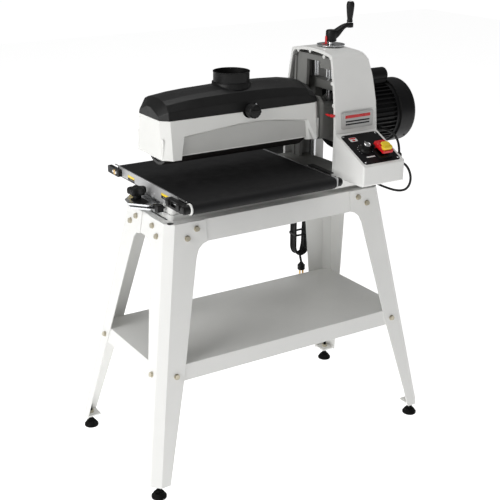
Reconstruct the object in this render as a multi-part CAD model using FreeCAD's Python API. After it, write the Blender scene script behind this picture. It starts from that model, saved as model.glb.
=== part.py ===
# Open-ended drum sander on a splayed sheet-steel stand.
# Millimetres, +Z up, +X along the drum towards the motor, -Y towards the operator.
# The model is laid out about the middle of the stand and moved once, when it is saved,
# so that the origin is on the floor below the middle of the whole machine.
import FreeCAD, Part
import math
import os

V = FreeCAD.Vector

# ---- driving dimensions: stand ----
STAND_TOP = 764.3
TOP_X = 368.7            # half width of the stand's outer faces at its top
TOP_Y = 131.9            # half depth there
SPLAY_X = 0.167          # outward lean of the end faces, mm per mm of drop
SPLAY_Y = 0.169          # outward lean of the front and rear faces
CORNER = 22.4            # corner chamfer of the folded legs
SHEET = 3.0
LEG_BOTTOM = 40.0
APRON_BOTTOM = 703.0
SHELF_TOP = 374.0
SHELF_LIP = 328.0
FOOT_X = 464.3
FOOT_Y = 231.3
PAD_RADIUS = 22.0
PAD_HEIGHT = 16.0
STUD_RADIUS = 5.0
BOLT_RADIUS = 4.0
BOLT_AF = 13.0           # across the flats of the hex heads and nuts

# ---- driving dimensions: bed and belt ----
BELT_LEFT = -343.5
BELT_WIDTH = 470.0
BELT_TOP = 848.0
BELT_THICK = 1.6
ROLLER_RADIUS = 15.0
ROLLER_Y = 211.2         # roller axes, front and rear
BED_PLATE = 3.0
RAIL = 4.0               # silver side rails beside the belt
BASE_HALF_Y = 100.4
FLANGE_TOP = 780.0

# ---- driving dimensions: head ----
DRUM_RADIUS = 63.5
DRUM_LEFT = -326.0
DRUM_RIGHT = 131.2
DRUM_Z = 963.0
ABRASIVE = 1.5
HEAD_LEFT = -350.0
HEAD_RIGHT = 171.0
SEAM_Z = 1035.9
HEAD_BOTTOM = 930.0
HEAD_HALF_Y = 80.45      # at the seam with the cover
HEAD_FLARE_Y = 94.0      # at the bottom
HEAD_CORNER = 22.6
HEAD_WALL = 5.0
MIDDLE_BOTTOM = 937.0    # raised middle of the head's lower edge
COVER_WALL = 3.0
PORT_X = -87.6
PORT_RADIUS = 51.4
PORT_TOP = 1137.9
HINGE_Y = 86.5           # cover hinge, behind the head
HINGE_Z = 1040.0

# ---- driving dimensions: column and motor ----
COLUMN_X = 190.0         # open left side of the column cover
SCREW_X = 257.5          # height screw and crank
POST_Y = 72.0
POST_RADIUS = 10.0
SCREW_RADIUS = 8.0
MOTOR_FRONT = 280.0
MOTOR_BACK = 466.0
MOTOR_RADIUS = 84.0
TERMINAL_X = 373.0       # motor cord entry
MOTOR_GLAND_Y = 116.0
FAN_RADIUS = 98.1
FAN_END = 528.3
DIAL_Z = 1181.5
BOX_RIGHT = 340.0
BOX_FRONT = -264.0
BOX_BOTTOM = 820.0
REAR_REACH = 258.0       # rearmost point, the roller brackets

RUN_FIT = 0.05           # radial clearance of running fits
GAP = 0.4                # clearance between pieces that move past each other

LEG_REACH = TOP_X + SPLAY_X * (STAND_TOP - LEG_BOTTOM)
ORIGIN_X = (FAN_END - LEG_REACH) / 2
ORIGIN_Y = (BOX_FRONT + REAR_REACH) / 2


# ---- small helpers ----
def box(x0, x1, y0, y1, z0, z1):
    return Part.makeBox(x1 - x0, y1 - y0, z1 - z0, V(x0, y0, z0))


def rod(centre, radius, length, axis=(0, 0, 1)):
    return Part.makeCylinder(radius, length, V(*centre), V(*axis))


def cone(centre, r0, r1, length, axis=(0, 0, 1)):
    return Part.makeCone(r0, r1, length, V(*centre), V(*axis))


def ring(centre, outer, inner, length, axis=(0, 0, 1)):
    return rod(centre, outer, length, axis).cut(rod(centre, inner, length, axis))


def fuse(first, *others):
    solid = first.multiFuse(list(others))
    return solid.removeSplitter()


def solids_only(shape):
    return Part.makeCompound(shape.Solids)


def prism_x(points, x0, x1):
    """Outline in (y, z), pushed along X."""
    wire = Part.makePolygon([V(x0, y, z) for y, z in points + points[:1]])
    return Part.Face(wire).extrude(V(x1 - x0, 0, 0))


def prism_y(points, y0, y1):
    """Outline in (x, z), pushed along Y."""
    wire = Part.makePolygon([V(x, y0, z) for x, z in points + points[:1]])
    return Part.Face(wire).extrude(V(0, y1 - y0, 0))


def prism_z(points, z0, z1):
    """Outline in (x, y), pushed along Z."""
    wire = Part.makePolygon([V(x, y, z0) for x, y in points + points[:1]])
    return Part.Face(wire).extrude(V(0, 0, z1 - z0))


def hexagon(centre, across_flats, height, axis=(0, 0, 1)):
    radius = across_flats / math.sqrt(3)
    corners = [V(radius * math.cos(math.radians(60 * i)), radius * math.sin(math.radians(60 * i)), 0)
               for i in range(7)]
    nut = Part.Face(Part.makePolygon(corners)).extrude(V(0, 0, height))
    nut.Placement = FreeCAD.Placement(V(*centre), FreeCAD.Rotation(V(0, 0, 1), V(*axis)))
    return nut


def mirror(shape, normal):
    return shape.mirror(V(0, 0, 0), V(*normal))


def rounded(shape, radius, pick):
    """Round the edges that pick(edge) chooses."""
    return shape.makeFillet(radius, [e for e in shape.Edges if pick(e)])


def along(edge, axis):
    """True when a straight edge runs along axis 0, 1 or 2."""
    if not isinstance(edge.Curve, Part.Line):
        return False
    a, b = edge.Vertexes[0].Point, edge.Vertexes[-1].Point
    return all(abs(a[i] - b[i]) < 1e-4 for i in range(3) if i != axis)


def chamfered(half_x, half_y, chamfer, z, middle_x=0.0):
    """Rectangle with cut corners, as a closed wire."""
    corners = []
    for sx, sy in ((1, 1), (-1, 1), (-1, -1), (1, -1)):
        near_x = V(middle_x + sx * half_x, sy * (half_y - chamfer), z)
        near_y = V(middle_x + sx * (half_x - chamfer), sy * half_y, z)
        corners += [near_x, near_y] if sx * sy > 0 else [near_y, near_x]
    return Part.makePolygon(corners + corners[:1])


def save(name, shape):
    """Write one sub-part, moved to the machine's own origin."""
    kept = solids_only(shape.removeSplitter())
    kept.translate(V(-ORIGIN_X, -ORIGIN_Y, 0))
    kept.exportStep("parts/%s.step" % name)


# ---- stand ----
def stand_solid(z0, z1, inset):
    """The stand's tapered block between two heights, inset from its outer faces."""
    wires = []
    for z in (z0, z1):
        drop = STAND_TOP - z
        half_x = TOP_X + SPLAY_X * drop - inset
        half_y = TOP_Y + SPLAY_Y * drop - inset
        wires.append(chamfered(half_x, half_y, max(CORNER - 0.59 * inset, 1.0), z))
    return Part.makeLoft(wires, True, True)


def end_face(sign, y, z, inset=0.0):
    """Point and outward normal on an end face of the stand."""
    x = TOP_X + SPLAY_X * (STAND_TOP - z) - inset
    return V(sign * x, y, z), V(sign, 0, SPLAY_X).normalize()


def front_face(sign, x, z, inset=0.0):
    """Point and outward normal on the front or rear face of the stand."""
    y = TOP_Y + SPLAY_Y * (STAND_TOP - z) - inset
    return V(x, sign * y, z), V(0, sign, SPLAY_Y).normalize()


def stand_bolt_places():
    """(point on the outer face, outward normal, depth of the sheets held together)."""
    places = []
    for sign in (-1, 1):
        for y, z in ((49.9, 743.4), (80.2, 721.5)):
            places += [end_face(sign, side * y, z) for side in (-1, 1)]
        places += [end_face(sign, side * 153.7, 346.9) for side in (-1, 1)]
        for x, z in ((280.5, 743.4), (312.1, 721.5)):
            places += [front_face(sign, side * x, z) for side in (-1, 1)]
        places += [front_face(sign, side * 385.9, 346.9) for side in (-1, 1)]
    return places


def bolt_holes():
    """Clearance holes for every bolt of the stand."""
    holes = []
    for point, out in stand_bolt_places():
        start = point - out * 12
        holes.append(Part.makeCylinder(BOLT_RADIUS + 0.3, 20, start, out))
    return Part.makeCompound(holes)


def build_legs():
    shell = stand_solid(LEG_BOTTOM, STAND_TOP, 0).cut(stand_solid(LEG_BOTTOM, STAND_TOP, SHEET))
    front_edge = [(250, 766), (250, 703), (264, 699), (279, 687), (288, 666), (293, 645),
                  (363, 332), (438.5, 38), (700, 38), (700, 766)]
    end_edge = [(18, 766), (18, 702), (38, 697), (50, 682), (55, 661), (126, 369), (205, 38),
                (400, 38), (400, 766)]
    keep_front = prism_y(front_edge, -400, 0)
    keep_end = prism_x([(-y, z) for y, z in end_edge], 0, 700)
    leg = shell.common(keep_front).common(keep_end)
    leg = leg.cut(bolt_holes())
    tab = build_foot_tab()
    leg = leg.fuse(tab).removeSplitter()
    names = {"leg_front_right": (), "leg_front_left": ((1, 0, 0),),
             "leg_rear_right": ((0, 1, 0),), "leg_rear_left": ((1, 0, 0), (0, 1, 0))}
    for name, flips in names.items():
        piece = leg
        for normal in flips:
            piece = mirror(piece, normal)
        save(name, piece)


def build_foot_tab():
    """Horizontal tab folded into the leg's corner, with the stud's hole."""
    block = stand_solid(LEG_BOTTOM + 2, LEG_BOTTOM + 7, SHEET - 0.5)
    reach = box(FOOT_X - 24, 700, -400, -FOOT_Y + 24, 0, 100)
    hole = rod((FOOT_X, -FOOT_Y, 0), STUD_RADIUS + RUN_FIT, 100)
    return block.common(reach).cut(hole)


def build_aprons():
    """Four plates behind the legs, each with its top edge folded inwards."""
    fold = 46
    outer = stand_solid(APRON_BOTTOM, STAND_TOP, SHEET)
    below_fold = stand_solid(APRON_BOTTOM, STAND_TOP - 2.5, SHEET + 2.5)
    opening = stand_solid(APRON_BOTTOM, STAND_TOP + 1, SHEET + fold)
    ring_shape = outer.cut(below_fold).cut(opening).cut(bolt_holes())
    front = ring_shape.common(box(-TOP_X + 22, TOP_X - 22, -400, 0, 600, 800))
    end = ring_shape.common(box(-700, 0, -TOP_Y + 22, TOP_Y - 22, 600, 800))
    for sign in (-1, 1):
        y0, y1 = sorted((sign * 400, sign * (TOP_Y - SHEET - fold - 0.2)))
        end = end.cut(box(-TOP_X + 21.8, TOP_X, y0, y1, 600, 800))
    save("stand_aprons", Part.makeCompound([front, mirror(front, (0, 1, 0)),
                                            end, mirror(end, (1, 0, 0))]))


def build_shelf():
    tray = stand_solid(SHELF_LIP, SHELF_TOP, SHEET)
    hollow = stand_solid(SHELF_LIP, SHELF_TOP - 2.5, SHEET + 2.5)
    tray = tray.cut(hollow).cut(bolt_holes())
    save("stand_shelf", tray)


def build_stand_fasteners():
    bolts, nuts = [], []
    for point, out in stand_bolt_places():
        head = hexagon(tuple(point + out * 1.2), BOLT_AF, 5.3, tuple(out))
        washer = Part.makeCylinder(8.5, 1.2, point, out)
        shank = Part.makeCylinder(BOLT_RADIUS, 17, point - out * 15, out)
        bolts.append(fuse(head, washer, shank))
        seat = point - out * (SHEET * 0.986 + 2.5 + 0.1)
        nut = hexagon(tuple(seat - out * 6.5), BOLT_AF, 6.5, tuple(out))
        nuts.append(nut.cut(Part.makeCylinder(BOLT_RADIUS, 20, seat - out * 10, out)))
    for sx in (-1, 1):
        for sy in (-1, 1):
            nut = hexagon((sx * FOOT_X, sy * FOOT_Y, LEG_BOTTOM + 7), 17, 8)
            hole = rod((sx * FOOT_X, sy * FOOT_Y, 0), STUD_RADIUS + RUN_FIT, 100)
            nuts.append(nut.cut(hole))
    save("stand_bolts", Part.makeCompound(bolts))
    save("stand_nuts", Part.makeCompound(nuts))


def build_feet():
    for name, sx, sy in (("front_left", -1, -1), ("front_right", 1, -1),
                         ("rear_left", -1, 1), ("rear_right", 1, 1)):
        x, y = sx * FOOT_X, sy * FOOT_Y
        pad = fuse(rod((x, y, 0), PAD_RADIUS, 6), cone((x, y, 6), PAD_RADIUS, 15, PAD_HEIGHT - 6))
        pad = rounded(pad, 1.5, lambda e: isinstance(e.Curve, Part.Circle) and e.BoundBox.ZMax < 1)
        collar = hexagon((x, y, PAD_HEIGHT), 17, 7)
        stud = rod((x, y, PAD_HEIGHT), STUD_RADIUS, 60)
        save("foot_" + name, fuse(pad, collar, stud))


# ---- base, bed and conveyor ----
BASE_LEFT = -341.3
BASE_RIGHT = 342.0
BED_BOTTOM = 820.7
BASE_TOP = 810.0
ROLLER_Z = BELT_TOP - BELT_THICK - ROLLER_RADIUS
BELT_RIGHT = BELT_LEFT + BELT_WIDTH


def build_base():
    """Hollow casting: a low flange on the stand and a raised block below the bed."""
    flange = box(BASE_LEFT, BASE_RIGHT, -BASE_HALF_Y, BASE_HALF_Y, STAND_TOP, FLANGE_TOP)
    flange = rounded(flange, 10, lambda e: along(e, 2))
    body = box(BASE_LEFT + 4, 150, -BASE_HALF_Y + 6, BASE_HALF_Y - 6, FLANGE_TOP, BASE_TOP)
    body = rounded(body, 10, lambda e: along(e, 2))
    hollow = box(BASE_LEFT + 16, 138, -BASE_HALF_Y + 18, BASE_HALF_Y - 18, STAND_TOP, BASE_TOP - 8)
    hollow_right = box(152, BASE_RIGHT - 14, -BASE_HALF_Y + 14, BASE_HALF_Y - 14, STAND_TOP,
                       FLANGE_TOP - 7)
    stem_hole = rod((BASE_LEFT - 5, ALIGN_Y, ALIGN_Z), 4 + RUN_FIT, 14, (1, 0, 0))
    save("base_casting", fuse(flange, body).cut(hollow).cut(hollow_right).cut(stem_hole))


def build_bed():
    """Flat bed; its sides pass outside the belt and turn in below it, onto the base."""
    left = BELT_LEFT - RAIL
    plate_z = BELT_TOP - BELT_THICK - BED_PLATE
    inner_y = ROLLER_Y - ROLLER_RADIUS - 4
    plate = box(BELT_LEFT - 1, BELT_RIGHT + 1, -inner_y, inner_y, plate_z, plate_z + BED_PLATE)
    left_side = box(left, BELT_LEFT - GAP, -150, 205, BED_BOTTOM, BELT_TOP)
    left_leg = box(left, BELT_LEFT - GAP, -80, 80, BASE_TOP, BED_BOTTOM + 1)
    left_foot = box(left, BELT_LEFT + 30, -80, 80, BASE_TOP, BASE_TOP + BED_PLATE)
    right_side = box(BELT_RIGHT + GAP, BELT_RIGHT + RAIL, -226, 205, BED_BOTTOM, BELT_TOP)
    right_leg = box(BELT_RIGHT + GAP, BELT_RIGHT + RAIL, -80, 80, BASE_TOP, BED_BOTTOM + 1)
    right_foot = box(BELT_RIGHT - 30, BELT_RIGHT + RAIL, -80, 80, BASE_TOP, BASE_TOP + BED_PLATE)
    ribs = [box(BELT_LEFT - 1, BELT_RIGHT + 1, y - 2.5, y + 2.5, BED_BOTTOM, plate_z)
            for y in (-80, 0, 80)]
    step = box(BELT_RIGHT + RAIL, BELT_RIGHT + 16, -98, 150, 829, 833)
    step_web = box(BELT_RIGHT + RAIL, BELT_RIGHT + 8, -98, 150, BED_BOTTOM, 833)
    bolt = hexagon((left - 5, -13.7, 818), 12, 5, (1, 0, 0))
    bed = fuse(plate, left_side, left_leg, left_foot, right_side, right_leg, right_foot,
               step, step_web, bolt, *ribs)
    save("conveyor_bed", bed.cut(roller_hole(ROLLER_Y)).cut(roller_hole(-ROLLER_Y)))


def belt_outline(radius):
    """Race-track outline of the belt at a roller wrap radius."""
    front, rear = -ROLLER_Y, ROLLER_Y
    x = BELT_LEFT + 2
    top, bottom = ROLLER_Z + radius, ROLLER_Z - radius
    edges = [Part.LineSegment(V(x, front, top), V(x, rear, top)).toShape(),
             Part.Arc(V(x, rear, top), V(x, rear + radius, ROLLER_Z), V(x, rear, bottom)).toShape(),
             Part.LineSegment(V(x, rear, bottom), V(x, front, bottom)).toShape(),
             Part.Arc(V(x, front, bottom), V(x, front - radius, ROLLER_Z), V(x, front, top)).toShape()]
    return Part.Face(Part.Wire(edges))


def build_belt():
    inner_radius = ROLLER_RADIUS + GAP
    outer = belt_outline(ROLLER_RADIUS + BELT_THICK)
    inner = belt_outline(inner_radius)
    belt = outer.cut(inner).extrude(V(BELT_WIDTH - 4, 0, 0))
    save("conveyor_belt", belt)


def build_rollers():
    for name, y, left, right in (("drive_roller", ROLLER_Y, BELT_LEFT - 16, BELT_RIGHT + 70),
                                 ("idler_roller", -ROLLER_Y, BELT_LEFT - 14, BELT_RIGHT + 20)):
        tube = rod((BELT_LEFT + 5, y, ROLLER_Z), ROLLER_RADIUS, BELT_WIDTH - 10, (1, 0, 0))
        shaft = rod((left, y, ROLLER_Z), 6, right - left, (1, 0, 0))
        save(name, fuse(tube, shaft))


def roller_hole(y):
    return rod((BELT_LEFT - 60, y, ROLLER_Z), 6 + RUN_FIT, 700, (1, 0, 0))


def build_roller_brackets():
    """Rear bearing blocks of the drive roller, one at each side of the bed."""
    left = box(BELT_LEFT - RAIL - 12, BELT_LEFT - RAIL, 185.5, REAR_REACH, 820.5, 842)
    left = rounded(left, 4, lambda e: along(e, 0))
    right = box(BELT_RIGHT + RAIL, BELT_RIGHT + RAIL + 12, 187, 250, 820.5, 842)
    right = rounded(right, 4, lambda e: along(e, 0))
    both = Part.makeCompound([left.cut(roller_hole(ROLLER_Y)), right.cut(roller_hole(ROLLER_Y))])
    save("drive_roller_brackets", both)


def build_take_ups():
    """Front take-up brackets: a lobed block round the shaft and a boss for the screw."""
    brackets, screws = [], []
    for side, x in ((-1, BELT_LEFT - RAIL), (1, BELT_RIGHT + RAIL)):
        x0, x1 = sorted((x, x + side * 16))
        block = box(x0, x1, -204, -112, 817, 842)
        block = rounded(block, 8, lambda e: along(e, 0))
        nose = rod((x0, -ROLLER_Y, ROLLER_Z), 13, 16, (1, 0, 0))
        neck = box(x0, x1, -ROLLER_Y, -190, 823, 840)
        window = box(x0 - 1, x1 + 1, -176, -142, 824, 838)
        screw_x = x + side * 8
        bore = rod((screw_x, -196.1, ROLLER_Z), 3.7, 90, (0, 1, 0))
        block = fuse(block, nose, neck).cut(roller_hole(-ROLLER_Y))
        brackets.append(block.cut(window).cut(bore))
        head = hexagon((screw_x, -111.9, ROLLER_Z), 13, 7, (0, 1, 0))
        shank = rod((screw_x, -196, ROLLER_Z), 3.6, 85, (0, 1, 0))
        screws.append(fuse(head, shank))
    save("take_up_brackets", Part.makeCompound(brackets))
    save("take_up_screws", Part.makeCompound(screws))


def build_conveyor_drive():
    """Gearbox on the drive roller's right end and its small motor."""
    gear_left = BELT_RIGHT + RAIL + 14
    case = box(gear_left, gear_left + 52, 182, 240, 796, 852)
    case = rounded(case, 7, lambda e: along(e, 0))
    boss = rod((gear_left - 1.5, ROLLER_Y, ROLLER_Z), 18, 1.5, (1, 0, 0))
    case = fuse(case, boss).cut(rod((gear_left - 5, ROLLER_Y, ROLLER_Z), 6 + RUN_FIT, 60, (1, 0, 0)))
    save("conveyor_gearbox", case)
    motor_x = gear_left + 52
    can = rod((motor_x, ROLLER_Y, 826), 27, 66, (1, 0, 0))
    cap = cone((motor_x + 66, ROLLER_Y, 826), 27, 22, 7, (1, 0, 0))
    save("conveyor_motor", fuse(can, cap))


STAR_X = -380.0
STAR_Y = 25.0
ALIGN_Y = -64.0
ALIGN_Z = 795.0


def build_alignment_bracket():
    """Bed alignment bracket: an upright plate on the base's left end and two bent shelves."""
    plate_x = BASE_LEFT - 4
    plate = box(plate_x, BASE_LEFT, -46, 74, 768, 806)
    shelves = []
    for z, pull_in in ((798, 0), (786, 7)):
        far = STAR_X - 41 + pull_in
        outline = [(plate_x, -46), (plate_x - 38 + pull_in, -44), (far, 0), (far + 7, 36),
                   (plate_x - 30 + pull_in, 74), (plate_x, 74)]
        shelf = prism_z(outline, z, z + 5)
        shelves.append(rounded(shelf, 8, lambda e: along(e, 2) and e.BoundBox.XMax < plate_x - 10))
    bolt = hexagon((plate_x - 5, -18.2, 775), 12, 5, (1, 0, 0))
    hole = rod((STAR_X, STAR_Y, 780), 4 + RUN_FIT, 60)
    knob_room = rod((BASE_LEFT - 30, ALIGN_Y, ALIGN_Z), 4 + RUN_FIT, 40, (1, 0, 0))
    save("alignment_bracket", fuse(plate, bolt, *shelves).cut(hole).cut(knob_room))


def build_bed_knobs():
    lobes = [rod((STAR_X + 21 * math.cos(math.radians(72 * i + 20)),
                  STAR_Y + 21 * math.sin(math.radians(72 * i + 20)), 816), 8.5, 20) for i in range(5)]
    star = fuse(rod((STAR_X, STAR_Y, 816), 21, 20), rod((STAR_X, STAR_Y, 803.6), 12, 13),
                rod((STAR_X, STAR_Y, 782), 4, 30), *lobes)
    save("lock_knob", star)
    square = box(BASE_LEFT - 26, BASE_LEFT - 8, ALIGN_Y - 10, ALIGN_Y + 10, ALIGN_Z - 10, ALIGN_Z + 10)
    square = rounded(square, 3, lambda e: along(e, 0))
    stem = rod((BASE_LEFT - 9, ALIGN_Y, ALIGN_Z), 4, 8.6, (1, 0, 0))
    save("alignment_knob", fuse(square, stem))


# ---- column ----
def column_outline(x, inset):
    """Arch-shaped section of the column cover in the YZ plane."""
    low, front, rear = FLANGE_TOP, -127.1 + inset, 133.0 - inset
    top = 1178.5 - inset
    points = {"front_low": V(x, front, low), "front_mid": V(x, front, 945),
              "front_bow": V(x, -118.0 + inset, 1050), "front_top": V(x, -98.5 + inset, 1156),
              "front_corner": V(x, -94.5 + inset, 1165.5 - inset),
              "crown_front": V(x, -85, 1170 - inset), "crown": V(x, 0, top),
              "crown_rear": V(x, 88, 1170 - inset), "rear_corner": V(x, 99 - inset, 1165.5 - inset),
              "rear_top": V(x, 103 - inset, 1156), "rear_bow": V(x, 118.8 - inset, 1075),
              "rear_mid": V(x, rear, 900), "rear_low": V(x, rear, low)}
    line = lambda a, b: Part.LineSegment(points[a], points[b]).toShape()
    arc = lambda a, b, c: Part.Arc(points[a], points[b], points[c]).toShape()
    edges = [line("front_low", "front_mid"), arc("front_mid", "front_bow", "front_top"),
             arc("front_top", "front_corner", "crown_front"), arc("crown_front", "crown", "crown_rear"),
             arc("crown_rear", "rear_corner", "rear_top"), arc("rear_top", "rear_bow", "rear_mid"),
             line("rear_mid", "rear_low"), line("rear_low", "front_low")]
    return Part.Face(Part.Wire(edges))


def build_column_cover():
    outer = column_outline(COLUMN_X, 0).extrude(V(155, 0, 0))
    inner = column_outline(COLUMN_X - 1, 3).extrude(V(160, 0, 0))
    floor_cut = box(COLUMN_X - 1, 400, -124.1, 130, 700, FLANGE_TOP + 1)
    lip = column_outline(COLUMN_X, 2).extrude(V(3, 0, 0))
    lip = lip.cut(column_outline(COLUMN_X - 1, 9).extrude(V(6, 0, 0))).cut(floor_cut)
    taper = prism_y([(346, 700), (343.5, 940), (340, 1028), (331, 1102), (320.7, 1148), (301.6, 1172),
                     (280, 1182), (280, 1300), (600, 1300), (600, 700)], -300, 300)
    shell = outer.cut(inner).cut(floor_cut)
    screw_hole = rod((SCREW_X, 0, 1100), SCREW_RADIUS + 4, 200)
    cover = fuse(shell, lip).cut(taper).cut(screw_hole)
    save("column_cover", cover)




def build_column_casting():
    """Dark casting: foot, ribbed rear wall and the head plate that holds posts and screw."""
    foot = box(196, 336, -118, 124, FLANGE_TOP, 798)
    foot = foot.cut(box(214, 320, -50, 50, 770, 800))
    ledge = box(148, 250, -108, 122, 823, 835)
    ledge_legs = [box(200, 246, y - 6, y + 6, 798, 823) for y in (-100, 112)]
    wall = box(200, 272, 90, 99, 798, 1142)
    rib_tall = box(204, 214, 66, 91, 835, 1142)
    rib_high = box(204, 214, 42, 68, 1062, 1142)
    rib_level = box(204, 240, 84, 91, 1108, 1116)
    head = box(204, 298, -84, 92, 1140, 1156)
    head = rounded(head, 8, lambda e: along(e, 2))
    front_rib = box(206, 214, -84, -20, 1122, 1142)
    solid = fuse(foot, ledge, wall, rib_tall, rib_high, rib_level, head, front_rib, *ledge_legs)
    for y in (-POST_Y, POST_Y):
        solid = solid.cut(rod((SCREW_X, y, 700), POST_RADIUS, 600))
    solid = solid.cut(rod((SCREW_X, 0, 1100), SCREW_RADIUS + RUN_FIT, 100))
    save("column_casting", solid)
    posts = [rod((SCREW_X, y, FLANGE_TOP), POST_RADIUS, 1156 - FLANGE_TOP) for y in (-POST_Y, POST_Y)]
    save("guide_posts", Part.makeCompound(posts))


def build_leadscrew():
    thread = rod((SCREW_X, 0, 1004), SCREW_RADIUS, DIAL_Z - 1004)
    journal = rod((SCREW_X, 0, DIAL_Z - 1), 6.5, 30)
    save("leadscrew", fuse(thread, journal))


def build_crank():
    dial = ring((SCREW_X, 0, DIAL_Z), 41.6, SCREW_RADIUS + 1, 2.5)
    save("crank_dial", dial)
    hub_z = DIAL_Z + 4
    collar = ring((SCREW_X, 0, hub_z), 10.5, 6.5, 6)
    hub = ring((SCREW_X, 0, hub_z + 6), 17.5, 6.5, 26)
    hub_cap = rod((SCREW_X, 0, hub_z + 29.9), 15, 8)
    centre = [V(SCREW_X + 5, 0, 1206), V(SCREW_X + 30, 0, 1209), V(SCREW_X + 48, 0, 1226),
              V(SCREW_X + 70, 0, 1234.5)]
    wires = []
    widths = ((24, 19), (21, 16), (18, 13), (19, 12))
    for i, point in enumerate(centre):
        before = centre[max(i - 1, 0)]
        after = centre[min(i + 1, 3)]
        heading = (after - before).normalize()
        side = V(0, 1, 0)
        up = heading.cross(side).normalize() * -1
        half_w, half_h = widths[i][0] / 2, widths[i][1] / 2
        corners = [point + side * half_w + up * half_h, point - side * half_w + up * half_h,
                   point - side * half_w - up * half_h, point + side * half_w - up * half_h]
        wires.append(Part.makePolygon(corners + corners[:1]))
    arm = Part.makeLoft(wires, True, False)
    boss = rod((SCREW_X + 67, 0, 1228), 11, 13)
    pin = rod((SCREW_X + 67, 0, 1240), 3.5, 60)
    crank = fuse(arm, hub, hub_cap, boss, pin).cut(rod((SCREW_X, 0, hub_z - 1), 6.5, 29))
    save("crank_arm", fuse(crank, collar))
    ferrule = [(8, 1242), (8.6, 1247), (8.2, 1252), (10.5, 1275), (11.7, 1292), (10.5, 1300), (6, 1304)]
    outline = [V(SCREW_X + 67, 0, ferrule[0][1])]
    outline += [V(SCREW_X + 67 + r, 0, z) for r, z in ferrule]
    outline += [V(SCREW_X + 67, 0, ferrule[-1][1])]
    grip = Part.Face(Part.makePolygon(outline + outline[:1]))
    grip = grip.revolve(V(SCREW_X + 67, 0, 0), V(0, 0, 1), 360)
    bore = rod((SCREW_X + 67, 0, 1230), 3.5 + RUN_FIT, 71)
    save("crank_grip", grip.cut(bore))


# ---- control box: its lid slopes up from the front edge to the column ----
SLOPE_FRONT = V(0, BOX_FRONT, 880)
SLOPE_BACK = V(0, -127.5, 945)
SLOPE = (SLOPE_BACK - SLOPE_FRONT).normalize()
SLOPE_UP = V(0, -SLOPE.z, SLOPE.y)


def on_slope(x, up_slope, out):
    """Point by its x, its distance up the slope and its height off the lid."""
    return V(x, 0, 0) + SLOPE_FRONT + SLOPE * up_slope + SLOPE_UP * out


def slope_block(x0, x1, s0, s1, o0, o1):
    corners = [on_slope(x0, s0, o0), on_slope(x1, s0, o0), on_slope(x1, s1, o0), on_slope(x0, s1, o0)]
    face = Part.Face(Part.makePolygon(corners + corners[:1]))
    return face.extrude(SLOPE_UP * (o1 - o0))


def slope_rod(x, s, radius, o0, o1):
    return Part.makeCylinder(radius, o1 - o0, on_slope(x, s, o0), SLOPE_UP)


CONVEYOR_GLAND = (-220.0, 866.0)     # centres on the box's right side, (y, z)
MOTOR_GLAND = (-224.0, 884.0)
KNOB_X, KNOB_S = 240.0, 67.0
SWITCH_X, SWITCH_S = 285.0, 48.0


def across_slope(edge):
    """True for a straight edge square to the sloping lid."""
    if not isinstance(edge.Curve, Part.Line):
        return False
    direction = (edge.Vertexes[-1].Point - edge.Vertexes[0].Point).normalize()
    return abs(direction.dot(SLOPE_UP)) > 0.999


def build_control_box():
    side = [(BOX_FRONT, BOX_BOTTOM), (BOX_FRONT, 880), (-127.5, 945), (-127.5, BOX_BOTTOM)]
    inner = [(BOX_FRONT + 2.5, BOX_BOTTOM + 2.5), (BOX_FRONT + 2.5, 878.4), (-127, 942.6),
             (-127, BOX_BOTTOM + 2.5)]
    shell = rounded(prism_x(side, COLUMN_X, BOX_RIGHT), 5, lambda e: e.BoundBox.YMax < -200)
    shell = shell.cut(prism_x(inner, COLUMN_X + 2.5, BOX_RIGHT - 2.5))
    sockets = [rod((BOX_RIGHT - 5, y, z), 5, 10, (1, 0, 0)) for y, z in (CONVEYOR_GLAND, MOTOR_GLAND)]
    holes = sockets + [slope_rod(KNOB_X, KNOB_S, 4 + RUN_FIT, -10, 10),
                       slope_block(SWITCH_X - 20, SWITCH_X + 20, SWITCH_S - 24, SWITCH_S + 24, -10, 10)]
    save("control_box", shell.cut(Part.makeCompound(holes)))
    panel = slope_block(COLUMN_X + 9, BOX_RIGHT - 9, 8, 140, 0, 1.6)
    panel = rounded(panel, 10, across_slope)
    save("control_panel", panel.cut(Part.makeCompound(holes)))


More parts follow.
